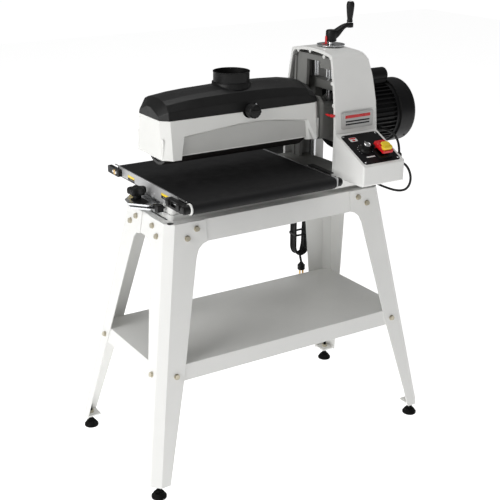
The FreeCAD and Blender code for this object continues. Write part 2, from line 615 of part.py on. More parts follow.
def build_controls():
    skirt = Part.makeCone(17.6, 14, 6, on_slope(KNOB_X, KNOB_S, 2.2), SLOPE_UP)
    grip = slope_rod(KNOB_X, KNOB_S, 12, 8, 22)
    flutes = [slope_rod(KNOB_X + 13 * math.cos(math.radians(30 * i)),
                        KNOB_S + 13 * math.sin(math.radians(30 * i)), 1.6, 9, 23) for i in range(12)]
    shaft = slope_rod(KNOB_X, KNOB_S, 4, -9, 3)
    save("speed_knob", fuse(skirt, grip, shaft).cut(Part.makeCompound(flutes)))
    body = slope_block(SWITCH_X - 19.5, SWITCH_X + 19.5, SWITCH_S - 23.5, SWITCH_S + 23.5, -18, 0)
    bezel = slope_block(SWITCH_X - 25, SWITCH_X + 25, SWITCH_S - 29, SWITCH_S + 29, 1.6, 6)
    bezel = rounded(bezel, 5, across_slope)
    collar = slope_block(SWITCH_X - 19.5, SWITCH_X + 19.5, SWITCH_S - 23.5, SWITCH_S + 23.5, -1, 2)
    well = slope_block(SWITCH_X - 16, SWITCH_X + 16, SWITCH_S - 20, SWITCH_S + 20, -12, 8)
    ears = [slope_block(SWITCH_X + side * 22 - 2, SWITCH_X + side * 22 + 2, SWITCH_S + 10, SWITCH_S + 24,
                        5, 18) for side in (-1, 1)]
    hinge_pin = Part.makeCylinder(2, 48, on_slope(SWITCH_X - 24, SWITCH_S + 18, 13), V(1, 0, 0))
    body = fuse(body, bezel, collar, *ears).cut(well)
    save("switch_body", fuse(body, hinge_pin))
    paddle = slope_block(SWITCH_X - 19, SWITCH_X + 19, SWITCH_S - 26, SWITCH_S + 24, 18, 26)
    paddle = rounded(paddle, 4, across_slope)
    lug = slope_block(SWITCH_X - 18, SWITCH_X + 18, SWITCH_S + 13, SWITCH_S + 23, 8.5, 18.5)
    pin_hole = Part.makeCylinder(2 + RUN_FIT, 60, on_slope(SWITCH_X - 30, SWITCH_S + 18, 13), V(1, 0, 0))
    key_hole = slope_block(SWITCH_X - 9, SWITCH_X + 9, SWITCH_S - 17, SWITCH_S - 9, 10, 30)
    save("switch_paddle", fuse(paddle, lug).cut(pin_hole).cut(key_hole))
    head = slope_block(SWITCH_X - 17, SWITCH_X + 17, SWITCH_S - 22, SWITCH_S - 4, 26.4, 34)
    head = rounded(head, 8, across_slope)
    blade = slope_block(SWITCH_X - 8.6, SWITCH_X + 8.6, SWITCH_S - 16.6, SWITCH_S - 9.4, 12, 27)
    save("safety_key", fuse(head, blade))
    badge = box(211, 325, -129.3, -127.1, 957, 1006)
    badge = rounded(badge, 5, lambda e: along(e, 1))
    save("badge_plate", badge.cut(column_outline(180, 0).extrude(V(200, 0, 0))))


# ---- head ----
def head_block(inset, z0, z1):
    """Outer block of the head, wider at the bottom than at the seam, between two heights."""
    middle = (HEAD_LEFT + HEAD_RIGHT) / 2
    half_x = (HEAD_RIGHT - HEAD_LEFT) / 2 - inset
    wires = []
    for z in (z0, z1):
        flare = (HEAD_FLARE_Y - HEAD_HALF_Y) * (SEAM_Z - z) / (SEAM_Z - HEAD_BOTTOM)
        wires.append(chamfered(half_x, HEAD_HALF_Y + flare - inset, HEAD_CORNER - 0.59 * inset, z, middle))
    return Part.makeLoft(wires, True, True)


def recess(sign):
    """Shallow arched recess in a long face, with bevelled sides."""
    outer = [(-303, 925), (-291, 997), (-112, 1017), (-40, 1018), (22, 1012), (129, 998), (155, 925)]
    inner = [(-298, 925), (-286, 988), (-112, 1003), (-40, 1004), (22, 999), (114, 986), (121, 925)]
    wires = []
    for points, y in ((outer, 96), (inner, 79)):
        corners = [V(x, sign * y, z) for x, z in points]
        wires.append(Part.makePolygon(corners + corners[:1]))
    return Part.makeLoft(wires, True, True)


KNOB_AT = (-77.0, 1040.0)


def build_head_housing():
    outer = head_block(0, HEAD_BOTTOM, SEAM_Z)
    inner = head_block(HEAD_WALL, HEAD_BOTTOM - 1, SEAM_Z + 1)
    raise_middle = box(-297, 118, -120, 120, 900, MIDDLE_BOTTOM)
    skin = []
    for sign in (-1, 1):
        # the recess's own floor sits behind the face, so the wall follows it inwards
        back = [(-310, HEAD_BOTTOM), (-297, 1008), (-112, 1028), (30, 1022), (140, 1008), (164, HEAD_BOTTOM)]
        wall = prism_y(back, min(sign * 72, sign * 84), max(sign * 72, sign * 84))
        skin.append(wall)
    shell = outer.cut(inner)
    for wall in skin:
        shell = shell.fuse(wall.common(outer))
    for sign in (-1, 1):
        shell = shell.cut(recess(sign))
    shell = shell.cut(raise_middle).cut(rod((HEAD_LEFT - 20, 0, DRUM_Z), 20, 50, (1, 0, 0)).common(
        box(HEAD_LEFT + 2, HEAD_LEFT + 50, -30, 30, 900, 1000)))
    shaft_hole = rod((HEAD_RIGHT - 20, 0, DRUM_Z), 24, 40, (1, 0, 0))
    knob_notch = rod((KNOB_AT[0], -140, KNOB_AT[1]), 23, 110, (0, 1, 0)).common(
        box(-200, 50, -140, -60, 1000, 1100))
    webs = [box(x0, x1, -74, 74, DRUM_Z - 24, DRUM_Z + 24)
            for x0, x1 in ((HEAD_LEFT + 3, -334.5), (148, HEAD_RIGHT - 3))]
    solid = shell.cut(shaft_hole).cut(knob_notch)
    solid = fuse(solid, *[web.cut(rod((HEAD_LEFT, 0, DRUM_Z), 17.5, 600, (1, 0, 0))) for web in webs])
    save("head_housing", solid)


def cover_section(x, half_y, crown, shoulder, z0):
    """One hoop of the cover: upright side, rounded shoulder, crowned top."""
    ridge_y = half_y - 28.5
    pts = [V(x, -half_y, z0), V(x, -half_y + 4, z0 + (shoulder - z0) * 0.45),
           V(x, -ridge_y - 8, shoulder - 7),
           V(x, -ridge_y + 6, shoulder + 0.5), V(x, 0, crown), V(x, ridge_y - 6, shoulder + 0.5),
           V(x, ridge_y + 8, shoulder - 7), V(x, half_y - 4, z0 + (shoulder - z0) * 0.45), V(x, half_y, z0)]
    return Part.makePolygon(pts + pts[:1])


COVER_HOOPS = ((HEAD_LEFT, 58, 1068, 1060), (-345, 71, 1076, 1070), (-327, 80.3, 1090, 1082),
               (-220, 80.3, 1101, 1091), (-59, 80.3, 1106, 1094), (77, 80.3, 1102, 1089),
               (130, 80.3, 1095, 1080.6), (156, 78, 1082, 1068), (HEAD_RIGHT - 5, 68, 1066, 1056),
               (HEAD_RIGHT, 58, 1056, 1048))


def cover_block(low):
    return Part.makeLoft([cover_section(x, hy, c, s, low) for x, hy, c, s in COVER_HOOPS], True, True)


def build_dust_cover():
    low = SEAM_Z + 0.5
    outer = cover_block(low)
    inner_hoops = [(x + 4 if x < 0 else x - 4, hy - 4, c - COVER_WALL - 1, s - COVER_WALL - 1)
                   for x, hy, c, s in COVER_HOOPS]
    inner = Part.makeLoft([cover_section(x, hy, c, s, low) for x, hy, c, s in inner_hoops], True, True)
    notch = rod((KNOB_AT[0], -140, KNOB_AT[1]), 8 + RUN_FIT, 110, (0, 1, 0))
    port_hole = rod((PORT_X, 0, 1080), PORT_RADIUS - 4.2, 60)
    lugs = [box(x - 12, x + 12, 74, HINGE_Y, low, low + 9) for x in (-250, 60)]
    barrels = [rod((x - 12, HINGE_Y, HINGE_Z), 5, 24, (1, 0, 0)) for x in (-250, 60)]
    cover = fuse(outer.cut(inner), *lugs)
    cover = fuse(cover, *barrels).cut(rod((-400, HINGE_Y, HINGE_Z), 2.5 + RUN_FIT, 800, (1, 0, 0)))
    save("dust_cover", cover.cut(notch).cut(port_hole))


def build_dust_port():
    """Round port; its foot follows the crown of the cover."""
    foot_z = 1092
    tube = ring((PORT_X, 0, foot_z), PORT_RADIUS, PORT_RADIUS - 3.5, PORT_TOP - foot_z)
    collar = ring((PORT_X, 0, foot_z), PORT_RADIUS + 3.5, PORT_RADIUS - 3.5, 16)
    above = fuse(tube, collar).cut(cover_block(SEAM_Z + 0.5))
    spigot = ring((PORT_X, 0, 1088), PORT_RADIUS - 4.4, PORT_RADIUS - 7, 24)
    save("dust_port", above.fuse(spigot).fuse(ring((PORT_X, 0, 1108), PORT_RADIUS - 3, PORT_RADIUS - 7, 4)))


def build_hinge_pins():
    """Pins with the fixed barrels at both ends, held on the housing's rear edge."""
    pins = []
    for x in (-250, 60):
        pin = rod((x - 26, HINGE_Y, HINGE_Z), 2.5, 52, (1, 0, 0))
        ends = [rod((x + side * 19 - 6, HINGE_Y, HINGE_Z), 5, 12, (1, 0, 0)) for side in (-1, 1)]
        straps = [box(x + side * 19 - 6, x + side * 19 + 6, HEAD_HALF_Y + 1.2, HINGE_Y + 5, 1012, HINGE_Z)
                  for side in (-1, 1)]
        pins.append(fuse(pin, *ends, *straps).cut(head_block(0, HEAD_BOTTOM, SEAM_Z)))
    save("cover_hinge_pins", Part.makeCompound(pins))


def build_cover_knob():
    x, z = KNOB_AT
    disc = rod((x, -101, z), 19, 14, (0, 1, 0))
    disc = rounded(disc, 3, lambda e: isinstance(e.Curve, Part.Circle) and e.BoundBox.YMax < -100)
    wing = box(x - 17, x + 17, -104, -99, z - 5, z + 5)
    stem = rod((x, -88, z), 8, 20, (0, 1, 0))
    save("cover_knob", fuse(disc, wing, stem))


def build_drum():
    tube = ring((DRUM_LEFT, 0, DRUM_Z), DRUM_RADIUS - ABRASIVE, DRUM_RADIUS - 9, DRUM_RIGHT - DRUM_LEFT,
                (1, 0, 0))
    webs = [rod((x, 0, DRUM_Z), DRUM_RADIUS - 8, 10, (1, 0, 0)) for x in (DRUM_LEFT + 4, DRUM_RIGHT - 14)]
    shaft = rod((HEAD_LEFT + 9, 0, DRUM_Z), 9.5, 200 - HEAD_LEFT - 9, (1, 0, 0))
    save("drum", fuse(tube, shaft, *webs))
    skin = ring((DRUM_LEFT, 0, DRUM_Z), DRUM_RADIUS, DRUM_RADIUS - ABRASIVE,
                DRUM_RIGHT - DRUM_LEFT, (1, 0, 0))
    save("abrasive_strip", skin)


def build_bearings():
    bearings = []
    for x in (HEAD_LEFT + 4.5, 149.5):
        outer = ring((x, 0, DRUM_Z), 17.5, 14, 10, (1, 0, 0))
        inner = ring((x, 0, DRUM_Z), 12, 9.5 + RUN_FIT, 10, (1, 0, 0))
        web = ring((x + 2, 0, DRUM_Z), 14.5, 11.5, 6, (1, 0, 0))
        bearings.append(fuse(outer, inner, web))
    save("drum_bearings", Part.makeCompound(bearings))


# ---- carriage and motor ----
def build_carriage():
    """Casting that carries the head and the motor on the guide posts."""
    end_plate = prism_x([(-78, 930), (-78, 1030), (-60, 1046), (70, 1046), (80, 1030), (80, 930)],
                        HEAD_RIGHT, HEAD_RIGHT + 10)
    arm = box(HEAD_RIGHT + 10, 232, -62, 62, 916, 1016)
    core = rounded(arm, 14, lambda e: along(e, 0))
    sleeves = [rod((SCREW_X, y, 905), 15, 175) for y in (-POST_Y, POST_Y)]
    bridge_low = box(232, 279.4, -72, 72, 905, 1016)
    bridge_top = box(242.5, 274, -72, 72, 1052, 1078)
    cheeks = [box(244, 271, min(s * 50, s * 72), max(s * 50, s * 72), 1010, 1056) for s in (-1, 1)]
    flange = rod((272, 0, DRUM_Z), 74, 7.4, (1, 0, 0))
    solid = fuse(end_plate, core, bridge_low, bridge_top, flange, *cheeks, *sleeves)
    for y in (-POST_Y, POST_Y):
        solid = solid.cut(rod((SCREW_X, y, 800), POST_RADIUS + RUN_FIT, 400))
    solid = solid.cut(rod((150, 0, DRUM_Z), 32, 140, (1, 0, 0)))
    solid = solid.cut(rod((SCREW_X, 0, 990), SCREW_RADIUS + RUN_FIT, 200))
    screw_room = rod((SCREW_X, 0, 985), SCREW_RADIUS + 3, 50)
    save("carriage", solid.cut(screw_room))


def build_motor():
    axis = (1, 0, 0)
    bell = ring((MOTOR_FRONT, 0, DRUM_Z), FAN_RADIUS - 2, 24, 10, axis)
    bell_cone = cone((MOTOR_FRONT + 10, 0, DRUM_Z), FAN_RADIUS - 2, MOTOR_RADIUS, 14, axis)
    barrel = rod((MOTOR_FRONT + 24, 0, DRUM_Z), MOTOR_RADIUS, MOTOR_BACK - 12 - MOTOR_FRONT - 24, axis)
    back = rod((MOTOR_BACK - 12, 0, DRUM_Z), FAN_RADIUS - 6, 11.5, axis)
    fins = []
    for i in range(40):
        angle = 9 * i
        fin = box(MOTOR_FRONT + 34, MOTOR_BACK - 14, -1.4, 1.4, MOTOR_RADIUS - 1, MOTOR_RADIUS + 9)
        fin.rotate(V(0, 0, 0), V(1, 0, 0), angle)
        fin.translate(V(0, 0, DRUM_Z))
        fins.append(fin)
    hollow = rod((MOTOR_FRONT + 8, 0, DRUM_Z), 60, MOTOR_BACK - MOTOR_FRONT - 16, axis)
    bores = rod((MOTOR_FRONT - 5, 0, DRUM_Z), 9.5 + RUN_FIT, 300, axis)
    gland = rod((TERMINAL_X, -MOTOR_GLAND_Y, DRUM_Z - 24), 8, MOTOR_GLAND_Y - 70, (0, 1, 0))
    body = fuse(bell, bell_cone, barrel, back, gland, *fins)
    save("motor_body", body.cut(hollow).cut(bores))
    core = rod((MOTOR_FRONT + 30, 0, DRUM_Z), 50, 100, axis)
    shaft = rod((206, 0, DRUM_Z), 9.5, 508 - 206, axis)
    save("motor_rotor", fuse(core, shaft))
    coupling = ring((186, 0, DRUM_Z), 22, 9.5, 42, axis)
    save("shaft_coupling", coupling)


def build_motor_ends():
    axis = (1, 0, 0)
    hub = ring((478, 0, DRUM_Z), 20, 9.5, 22, axis)
    blades = []
    for i in range(9):
        blade = box(480, 498, -1.5, 1.5, 18, 78)
        blade.rotate(V(0, 0, 0), V(1, 0, 0), 40 * i)
        blade.translate(V(0, 0, DRUM_Z))
        blades.append(blade)
    save("motor_fan", fuse(hub, *blades))
    start, length = MOTOR_BACK, FAN_END - MOTOR_BACK
    bowl = rod((start, 0, DRUM_Z), FAN_RADIUS, length, axis)
    bowl = rounded(bowl, 16, lambda e: isinstance(e.Curve, Part.Circle) and e.BoundBox.XMin > FAN_END - 1)
    hollow = rod((start - 1, 0, DRUM_Z), FAN_RADIUS - 2, length - 1.5, axis)
    slots = []
    for ring_radius, count in ((28, 8), (50, 14), (72, 20)):
        for i in range(count):
            slot = box(FAN_END - 10, FAN_END + 5, -3, 3, ring_radius - 8, ring_radius + 8)
            slot.rotate(V(0, 0, 0), V(1, 0, 0), 360.0 * i / count)
            slot.translate(V(0, 0, DRUM_Z))
            slots.append(slot)
    cover = bowl.cut(hollow.common(rod((start - 1, 0, DRUM_Z), FAN_RADIUS - 2, length - 15, axis).fuse(
        cone((start + length - 16, 0, DRUM_Z), FAN_RADIUS - 2, FAN_RADIUS - 16, 13.5, axis))))
    save("fan_cover", cover.cut(Part.makeCompound(slots)))
    cap = rod((382, 0, 1074), 24, 84, axis)
    cap = fuse(cap, box(388, 460, -22, 22, 1052, 1074))
    cap = rounded(cap, 5, lambda e: isinstance(e.Curve, Part.Circle) and e.Length > 60)
    save("capacitor_cover", cap.cut(rod((300, 0, DRUM_Z), MOTOR_RADIUS + 9.6, 300, axis)))


# ---- cords ----
MAINS_DIAMETER = 8.0
CORD_DIAMETER = 7.0
HANK_CENTRE = (318.0, 208.0, 520.0)
HANK_WIDTH = 48.0
HANK_LENGTH = 160.0
HANK_DEPTH = 46.0
PLUG_TOP = (337.0, 218.0, 405.0)
MAINS_ROUTE = [(318, 149, 802), (318, 173, 802), (318, 194, 790), (318, 206, 768),
               (318, 205, 730), (316, 203, 682), (319, 197, 632), (318, 191, 600)]
TAIL_ROUTE = [(322, 227, 440), (328, 224, 424), PLUG_TOP]
CONVEYOR_ROUTE = [(352, -228, 866), (352, -247.3, 866), (353, -266.8, 854.8), (354, -278, 835.3),
                  (354, -278, 812.7), (353, -266.8, 793.2), (352, -247.3, 782), (350, -219, 776),
                  (346, -188, 776), (338, -158, 780), (330, -134, 787)]
MOTOR_ROUTE = [(352, -224, 892), (352.5, -222, 907), (354, -213, 924), (357, -196, 937),
               (362, -170, 943), (368, -144, 942), (TERMINAL_X, -MOTOR_GLAND_Y - 1, DRUM_Z - 24)]


def tube(route, diameter, name):
    """Straight runs joined by tangent arcs, swept with a round section."""
    points = [V(*p) for p in route]
    edges, start = [], points[0]
    for before, corner, after in zip(points, points[1:], points[2:]):
        arrive, leave = corner - before, after - corner
        cut = 0.45 * min(arrive.Length, leave.Length)
        half_turn = arrive.getAngle(leave) / 2
        radius = cut / math.tan(half_turn)
        a = corner - arrive.normalize() * cut
        b = corner + leave.normalize() * cut
        inward = ((a + b) * 0.5 - corner).normalize()
        middle = corner + inward * (radius * (1 / math.cos(half_turn) - 1))
        edges.append(Part.LineSegment(start, a).toShape())
        edges.append(Part.Arc(a, middle, b).toShape())
        print("%s radius %.1f" % (name, radius))
        start = b
    edges.append(Part.LineSegment(start, points[-1]).toShape())
    path = Part.Wire(edges)
    heading = (points[1] - points[0]).normalize()
    section = Part.Wire(Part.makeCircle(diameter / 2, points[0], heading))
    solid = path.makePipeShell([section], True, False, 2)
    expected = math.pi * diameter ** 2 / 4 * path.Length
    print("%s length %.0f, volume ratio %.4f" % (name, path.Length, solid.Volume / expected))
    return solid


def build_mains_lead():
    lead = tube(MAINS_ROUTE, MAINS_DIAMETER, "mains_cord")
    tail = tube(TAIL_ROUTE, MAINS_DIAMETER, "mains_tail")
    save("mains_cord", Part.makeCompound([lead, tail]))
    x, y, z = HANK_CENTRE
    half_width, half_depth = HANK_WIDTH / 2, HANK_DEPTH / 2
    straight = HANK_LENGTH / 2 - half_width
    hank = fuse(box(x - half_width, x + half_width, y - half_depth, y + half_depth, z - straight,
                    z + straight),
                rod((x, y - half_depth, z + straight), half_width, HANK_DEPTH, (0, 1, 0)),
                rod((x, y - half_depth, z - straight), half_width, HANK_DEPTH, (0, 1, 0)))
    save("mains_hank", hank)
    px, py, pz = PLUG_TOP
    grip = cone((px, py, pz - 8), 10, 5.5, 8)
    body = rod((px, py, pz - 27), 13, 19)
    body = rounded(body, 2.5, lambda e: isinstance(e.Curve, Part.Circle))
    blades = [box(px + side * 6.4 - 0.8, px + side * 6.4 + 0.8, py - 3.2, py + 3.2, pz - 44, pz - 26)
              for side in (-1, 1)]
    earth = rod((px, py + 8, pz - 45), 2.4, 20)
    save("mains_plug", fuse(grip, body, earth, *blades))


def build_glands():
    """Two elbow glands on the control box, one gland in front of and one behind the column."""
    elbows = []
    for (y, z), outlet in ((CONVEYOR_GLAND, (0, -1, 0)), (MOTOR_GLAND, (0, 0, 1))):
        base = rod((BOX_RIGHT, y, z), 7, 5, (1, 0, 0))
        body = box(BOX_RIGHT + 4, BOX_RIGHT + 18, y - 6.5, y + 6.5, z - 6.5, z + 6.5)
        body = rounded(body, 2, lambda e: e.BoundBox.XMax > BOX_RIGHT + 10)
        out = V(*outlet)
        start = V(BOX_RIGHT + 12, y, z) + out * 6
        nut = Part.makeCylinder(5.5, 2, start, out)
        elbows.append(fuse(base, body, nut))
    front = rod((330, -134, 787), 7, 6.9, (0, 1, 0))
    rear = fuse(cone((318, 139, 802), 8, 5.5, 10, (0, 1, 0)), hexagon((318, 133, 802), 19, 6, (0, 1, 0)))
    save("cable_glands", Part.makeCompound(elbows + [front, rear]))


def build_cords():
    save("conveyor_cord", tube(CONVEYOR_ROUTE, CORD_DIAMETER, "conveyor_cord"))
    save("motor_cord", tube(MOTOR_ROUTE, CORD_DIAMETER, "motor_cord"))


os.makedirs("parts", exist_ok=True)
build_legs()
build_aprons()
build_shelf()
build_stand_fasteners()
build_feet()
build_base()
build_bed()
build_belt()
build_rollers()
build_roller_brackets()
build_take_ups()
build_conveyor_drive()
build_alignment_bracket()
build_bed_knobs()
build_column_cover()
build_column_casting()
build_leadscrew()
build_crank()
build_control_box()
build_controls()
build_head_housing()
build_dust_cover()
build_dust_port()
build_hinge_pins()
build_cover_knob()
build_drum()
build_bearings()
build_carriage()
build_motor()
build_motor_ends()
build_mains_lead()
build_glands()
build_cords()
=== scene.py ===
# Looks of the open-ended drum sander: materials on every CAD node, smooth stand-ins for the
# lofted shapes, small trim, cords, soft studio light and the camera.
import math

import bmesh
import bpy
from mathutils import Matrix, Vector


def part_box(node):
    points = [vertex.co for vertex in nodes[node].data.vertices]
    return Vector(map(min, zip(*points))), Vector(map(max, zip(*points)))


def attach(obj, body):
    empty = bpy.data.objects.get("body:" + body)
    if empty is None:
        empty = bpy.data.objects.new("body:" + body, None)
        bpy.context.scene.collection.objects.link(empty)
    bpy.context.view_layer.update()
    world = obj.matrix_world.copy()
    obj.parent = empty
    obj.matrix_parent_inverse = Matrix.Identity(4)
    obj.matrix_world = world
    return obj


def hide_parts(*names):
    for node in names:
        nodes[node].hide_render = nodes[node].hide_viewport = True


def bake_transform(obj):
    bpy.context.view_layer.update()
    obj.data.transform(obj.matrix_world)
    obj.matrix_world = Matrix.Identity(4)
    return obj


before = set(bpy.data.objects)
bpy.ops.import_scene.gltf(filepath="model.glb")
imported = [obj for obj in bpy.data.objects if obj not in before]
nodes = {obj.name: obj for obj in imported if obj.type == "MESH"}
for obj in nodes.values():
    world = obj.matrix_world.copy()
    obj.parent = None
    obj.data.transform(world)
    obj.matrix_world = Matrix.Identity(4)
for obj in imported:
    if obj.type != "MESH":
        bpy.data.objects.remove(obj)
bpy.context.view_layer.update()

MM = 0.001
# The layout is in millimetres about the middle of the stand; two known faces place it in the frame.
FAN_END = 528.3
BOX_FRONT = -264.0
ORIGIN_X = FAN_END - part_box("fan_cover")[1].x / MM
ORIGIN_Y = BOX_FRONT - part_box("control_box")[0].y / MM
DRUM_Z = 963.0           # drum and motor axis
SCREW_X = 257.5          # height screw
LEFT_FACE = -347.5       # left side of the bed


def at(x, y, z):
    """Point of the layout in millimetres, as a point of the frame in metres."""
    return Vector(((x - ORIGIN_X) * MM, (y - ORIGIN_Y) * MM, z * MM))


# ---- camera ----
CAMERA_PLACE = (-1548.2, -2346.3, 1634.6)
CAMERA_LENS = 70.95
CAMERA_SHIFT = (0.0708, 0.0096)
LOOKS_DOWN = 20.795      # degrees
TURNED_RIGHT = 30.93


def make_camera():
    data = bpy.data.cameras.new("view")
    data.lens = CAMERA_LENS
    data.sensor_width = 36.0
    data.shift_x, data.shift_y = CAMERA_SHIFT
    data.clip_end = 100
    camera = bpy.data.objects.new("view", data)
    camera.location = at(*CAMERA_PLACE)
    camera.rotation_euler = (math.radians(90 - LOOKS_DOWN), 0, math.radians(-TURNED_RIGHT))
    bpy.context.scene.collection.objects.link(camera)
    bpy.context.scene.camera = camera


make_camera()


# ---- materials ----
class Nodes:
    """A material's node tree with short ways to add and join nodes."""

    def __init__(self, name):
        self.material = bpy.data.materials.new(name)
        self.material.use_nodes = True
        self.tree = self.material.node_tree
        self.shader = self.tree.nodes["Principled BSDF"]
        self.place = self.add("ShaderNodeTexCoord").outputs["Object"]

    def add(self, kind):
        return self.tree.nodes.new(kind)

    def join(self, source, target):
        self.tree.links.new(source, target)

    def noise(self, scale, detail=4.0, stretch=(1, 1, 1)):
        mapping = self.add("ShaderNodeMapping")
        mapping.inputs["Scale"].default_value = stretch
        self.join(self.place, mapping.inputs["Vector"])
        noise = self.add("ShaderNodeTexNoise")
        noise.inputs["Scale"].default_value = scale
        noise.inputs["Detail"].default_value = detail
        self.join(mapping.outputs["Vector"], noise.inputs["Vector"])
        return noise.outputs["Fac"]

    def between(self, fac, low, high, from_low=0.3, from_high=0.7):
        spread = self.add("ShaderNodeMapRange")
        spread.inputs["From Min"].default_value = from_low
        spread.inputs["From Max"].default_value = from_high
        spread.inputs["To Min"].default_value = low
        spread.inputs["To Max"].default_value = high
        self.join(fac, spread.inputs["Value"])
        return spread.outputs["Result"]

    def blend(self, fac, first, second):
        ramp = self.add("ShaderNodeValToRGB")
        ramp.color_ramp.elements[0].position = 0.3
        ramp.color_ramp.elements[0].color = (*first, 1)
        ramp.color_ramp.elements[1].position = 0.7
        ramp.color_ramp.elements[1].color = (*second, 1)
        self.join(fac, ramp.inputs["Fac"])
        return ramp.outputs["Color"]

    def bump(self, height, distance, strength, round_edges=0.0):
        bump = self.add("ShaderNodeBump")
        bump.inputs["Distance"].default_value = distance
        bump.inputs["Strength"].default_value = strength
        self.join(height, bump.inputs["Height"])
        if round_edges:
            bevel = self.add("ShaderNodeBevel")
            bevel.samples = 4
            bevel.inputs["Radius"].default_value = round_edges
            self.join(bevel.outputs["Normal"], bump.inputs["Normal"])
        self.join(bump.outputs["Normal"], self.shader.inputs["Normal"])

    def set(self, **values):
        for key, value in values.items():
            self.shader.inputs[key.replace("_", " ")].default_value = value


def scaled(colour, factor):
    return tuple(min(c * factor, 1.0) for c in colour)


def surface(name, colour, rough, grain=900.0, bump=0.15, depth=0.0002, vary=0.06, metallic=0.0,
            stretch=(1, 1, 1), edges=0.0012, blotch=14.0, **more):
    """General finish: blotchy colour, uneven roughness and a fine bump."""
    n = Nodes(name)
    n.join(n.blend(n.noise(blotch), scaled(colour, 1 - vary), scaled(colour, 1 + vary)),
           n.shader.inputs["Base Color"])
    n.join(n.between(n.noise(blotch * 3, 6.0, stretch), rough * 0.85, min(rough * 1.15, 1.0)),
           n.shader.inputs["Roughness"])
    n.bump(n.noise(grain, 3.0, stretch), depth, bump, edges)
    n.set(Metallic=metallic, **more)
    return n.material


def weave(name, colour, pitch, rough):
    """Coated abrasive or woven cloth: fine crossed ribs with grit between them."""
    n = Nodes(name)
    grit = n.noise(2600.0, 2.0)
    n.join(n.blend(grit, scaled(colour, 0.7), scaled(colour, 1.45)), n.shader.inputs["Base Color"])
    n.join(n.between(n.noise(30.0), rough * 0.9, rough * 1.1), n.shader.inputs["Roughness"])
    wave = n.add("ShaderNodeTexWave")
    wave.inputs["Scale"].default_value = 1 / pitch / 20
    wave.inputs["Distortion"].default_value = 0.4
    n.join(n.place, wave.inputs["Vector"])
    mix = n.add("ShaderNodeMath")
    mix.operation = "MULTIPLY_ADD"
    mix.inputs[1].default_value = 0.35
    n.join(wave.outputs["Fac"], mix.inputs[0])
    n.join(grit, mix.inputs[2])
    n.bump(mix.outputs["Value"], 0.0003, 0.35)
    n.set(Metallic=0.0, Specular_IOR_Level=0.2)
    return n.material


WHITE = surface("white_powder_coat", (0.80, 0.80, 0.78), 0.36, grain=1400, bump=0.12, vary=0.012)
HOUSING = surface("warm_white_casting", (0.74, 0.74, 0.715), 0.42, grain=1100, bump=0.16,
                  vary=0.015)
# Painted shade: the recess panels get a darker grey that stands in for the shade in the head's
# arched recesses.
RECESS_SHADE = surface("recess_painted_shade", (0.50, 0.50, 0.48), 0.5, grain=1500, bump=0.2, vary=0.03)
DARK_CAST = surface("dark_grey_casting", (0.20, 0.20, 0.19), 0.5, grain=500, bump=0.4,
                    depth=0.0006, vary=0.12)
ZINC = surface("zinc_plate", (0.52, 0.48, 0.38), 0.34, grain=700, bump=0.1, vary=0.1, metallic=1.0)
STEEL = surface("bright_steel", (0.66, 0.67, 0.68), 0.24, grain=600, bump=0.12, metallic=1.0,
                stretch=(1, 6, 1))
CHROME = surface("polished_steel", (0.86, 0.86, 0.87), 0.12, grain=500, bump=0.04, metallic=1.0)
BED = surface("brushed_bed", (0.50, 0.50, 0.50), 0.42, grain=420, bump=0.2, metallic=0.45,
              stretch=(0.5, 0.05, 4))
LOW_SHEEN = {"Specular_IOR_Level": 0.22}
BLACK = surface("black_plastic", (0.009, 0.009, 0.009), 0.42, grain=1300, bump=0.25, vary=0.12,
                **LOW_SHEEN)
COVER_BLACK = surface("moulded_cover", (0.009, 0.009, 0.009), 0.40, grain=1700, bump=0.3,
                      vary=0.08, Specular_IOR_Level=0.32)
MOTOR = surface("motor_enamel", (0.006, 0.006, 0.0065), 0.4, grain=900, bump=0.22, vary=0.1,
                **LOW_SHEEN)
RUBBER = surface("foot_rubber", (0.005, 0.005, 0.005), 0.62, grain=1000, bump=0.3, vary=0.15,
                 Specular_IOR_Level=0.1)
CORD = surface("cord_jacket", (0.008, 0.008, 0.008), 0.5, grain=1600, bump=0.15, edges=0.0,
               vary=0.1, **LOW_SHEEN)
DRUM_CORE = surface("drum_core", (0.05, 0.05, 0.05), 0.5, grain=900, bump=0.2, **LOW_SHEEN)
RED = surface("red_plastic", (0.62, 0.012, 0.016), 0.28, grain=1500, bump=0.08, vary=0.04)
YELLOW = surface("yellow_plastic", (0.86, 0.62, 0.03), 0.3, grain=1500, bump=0.08, vary=0.04)
PANEL = surface("printed_panel", (0.008, 0.008, 0.009), 0.36, grain=1800, bump=0.15, vary=0.1,
                Specular_IOR_Level=0.12)
SILVER = surface("silver_print", (0.46, 0.46, 0.45), 0.35, grain=1300, bump=0.06, metallic=0.3)
LABEL_DARK = surface("label_print", (0.015, 0.015, 0.017), 0.45, grain=1500, bump=0.05,
                     **LOW_SHEEN)
LABEL_LIGHT = surface("label_paper", (0.70, 0.70, 0.70), 0.45, grain=1500, bump=0.05)
BRASS = surface("brass", (0.70, 0.48, 0.20), 0.3, grain=800, bump=0.08, metallic=1.0)
BELT = weave("belt_cloth", (0.0095, 0.0095, 0.010), 0.0008, 0.6)
GRIT = weave("abrasive_grit", (0.012, 0.010, 0.009), 0.0006, 0.8)

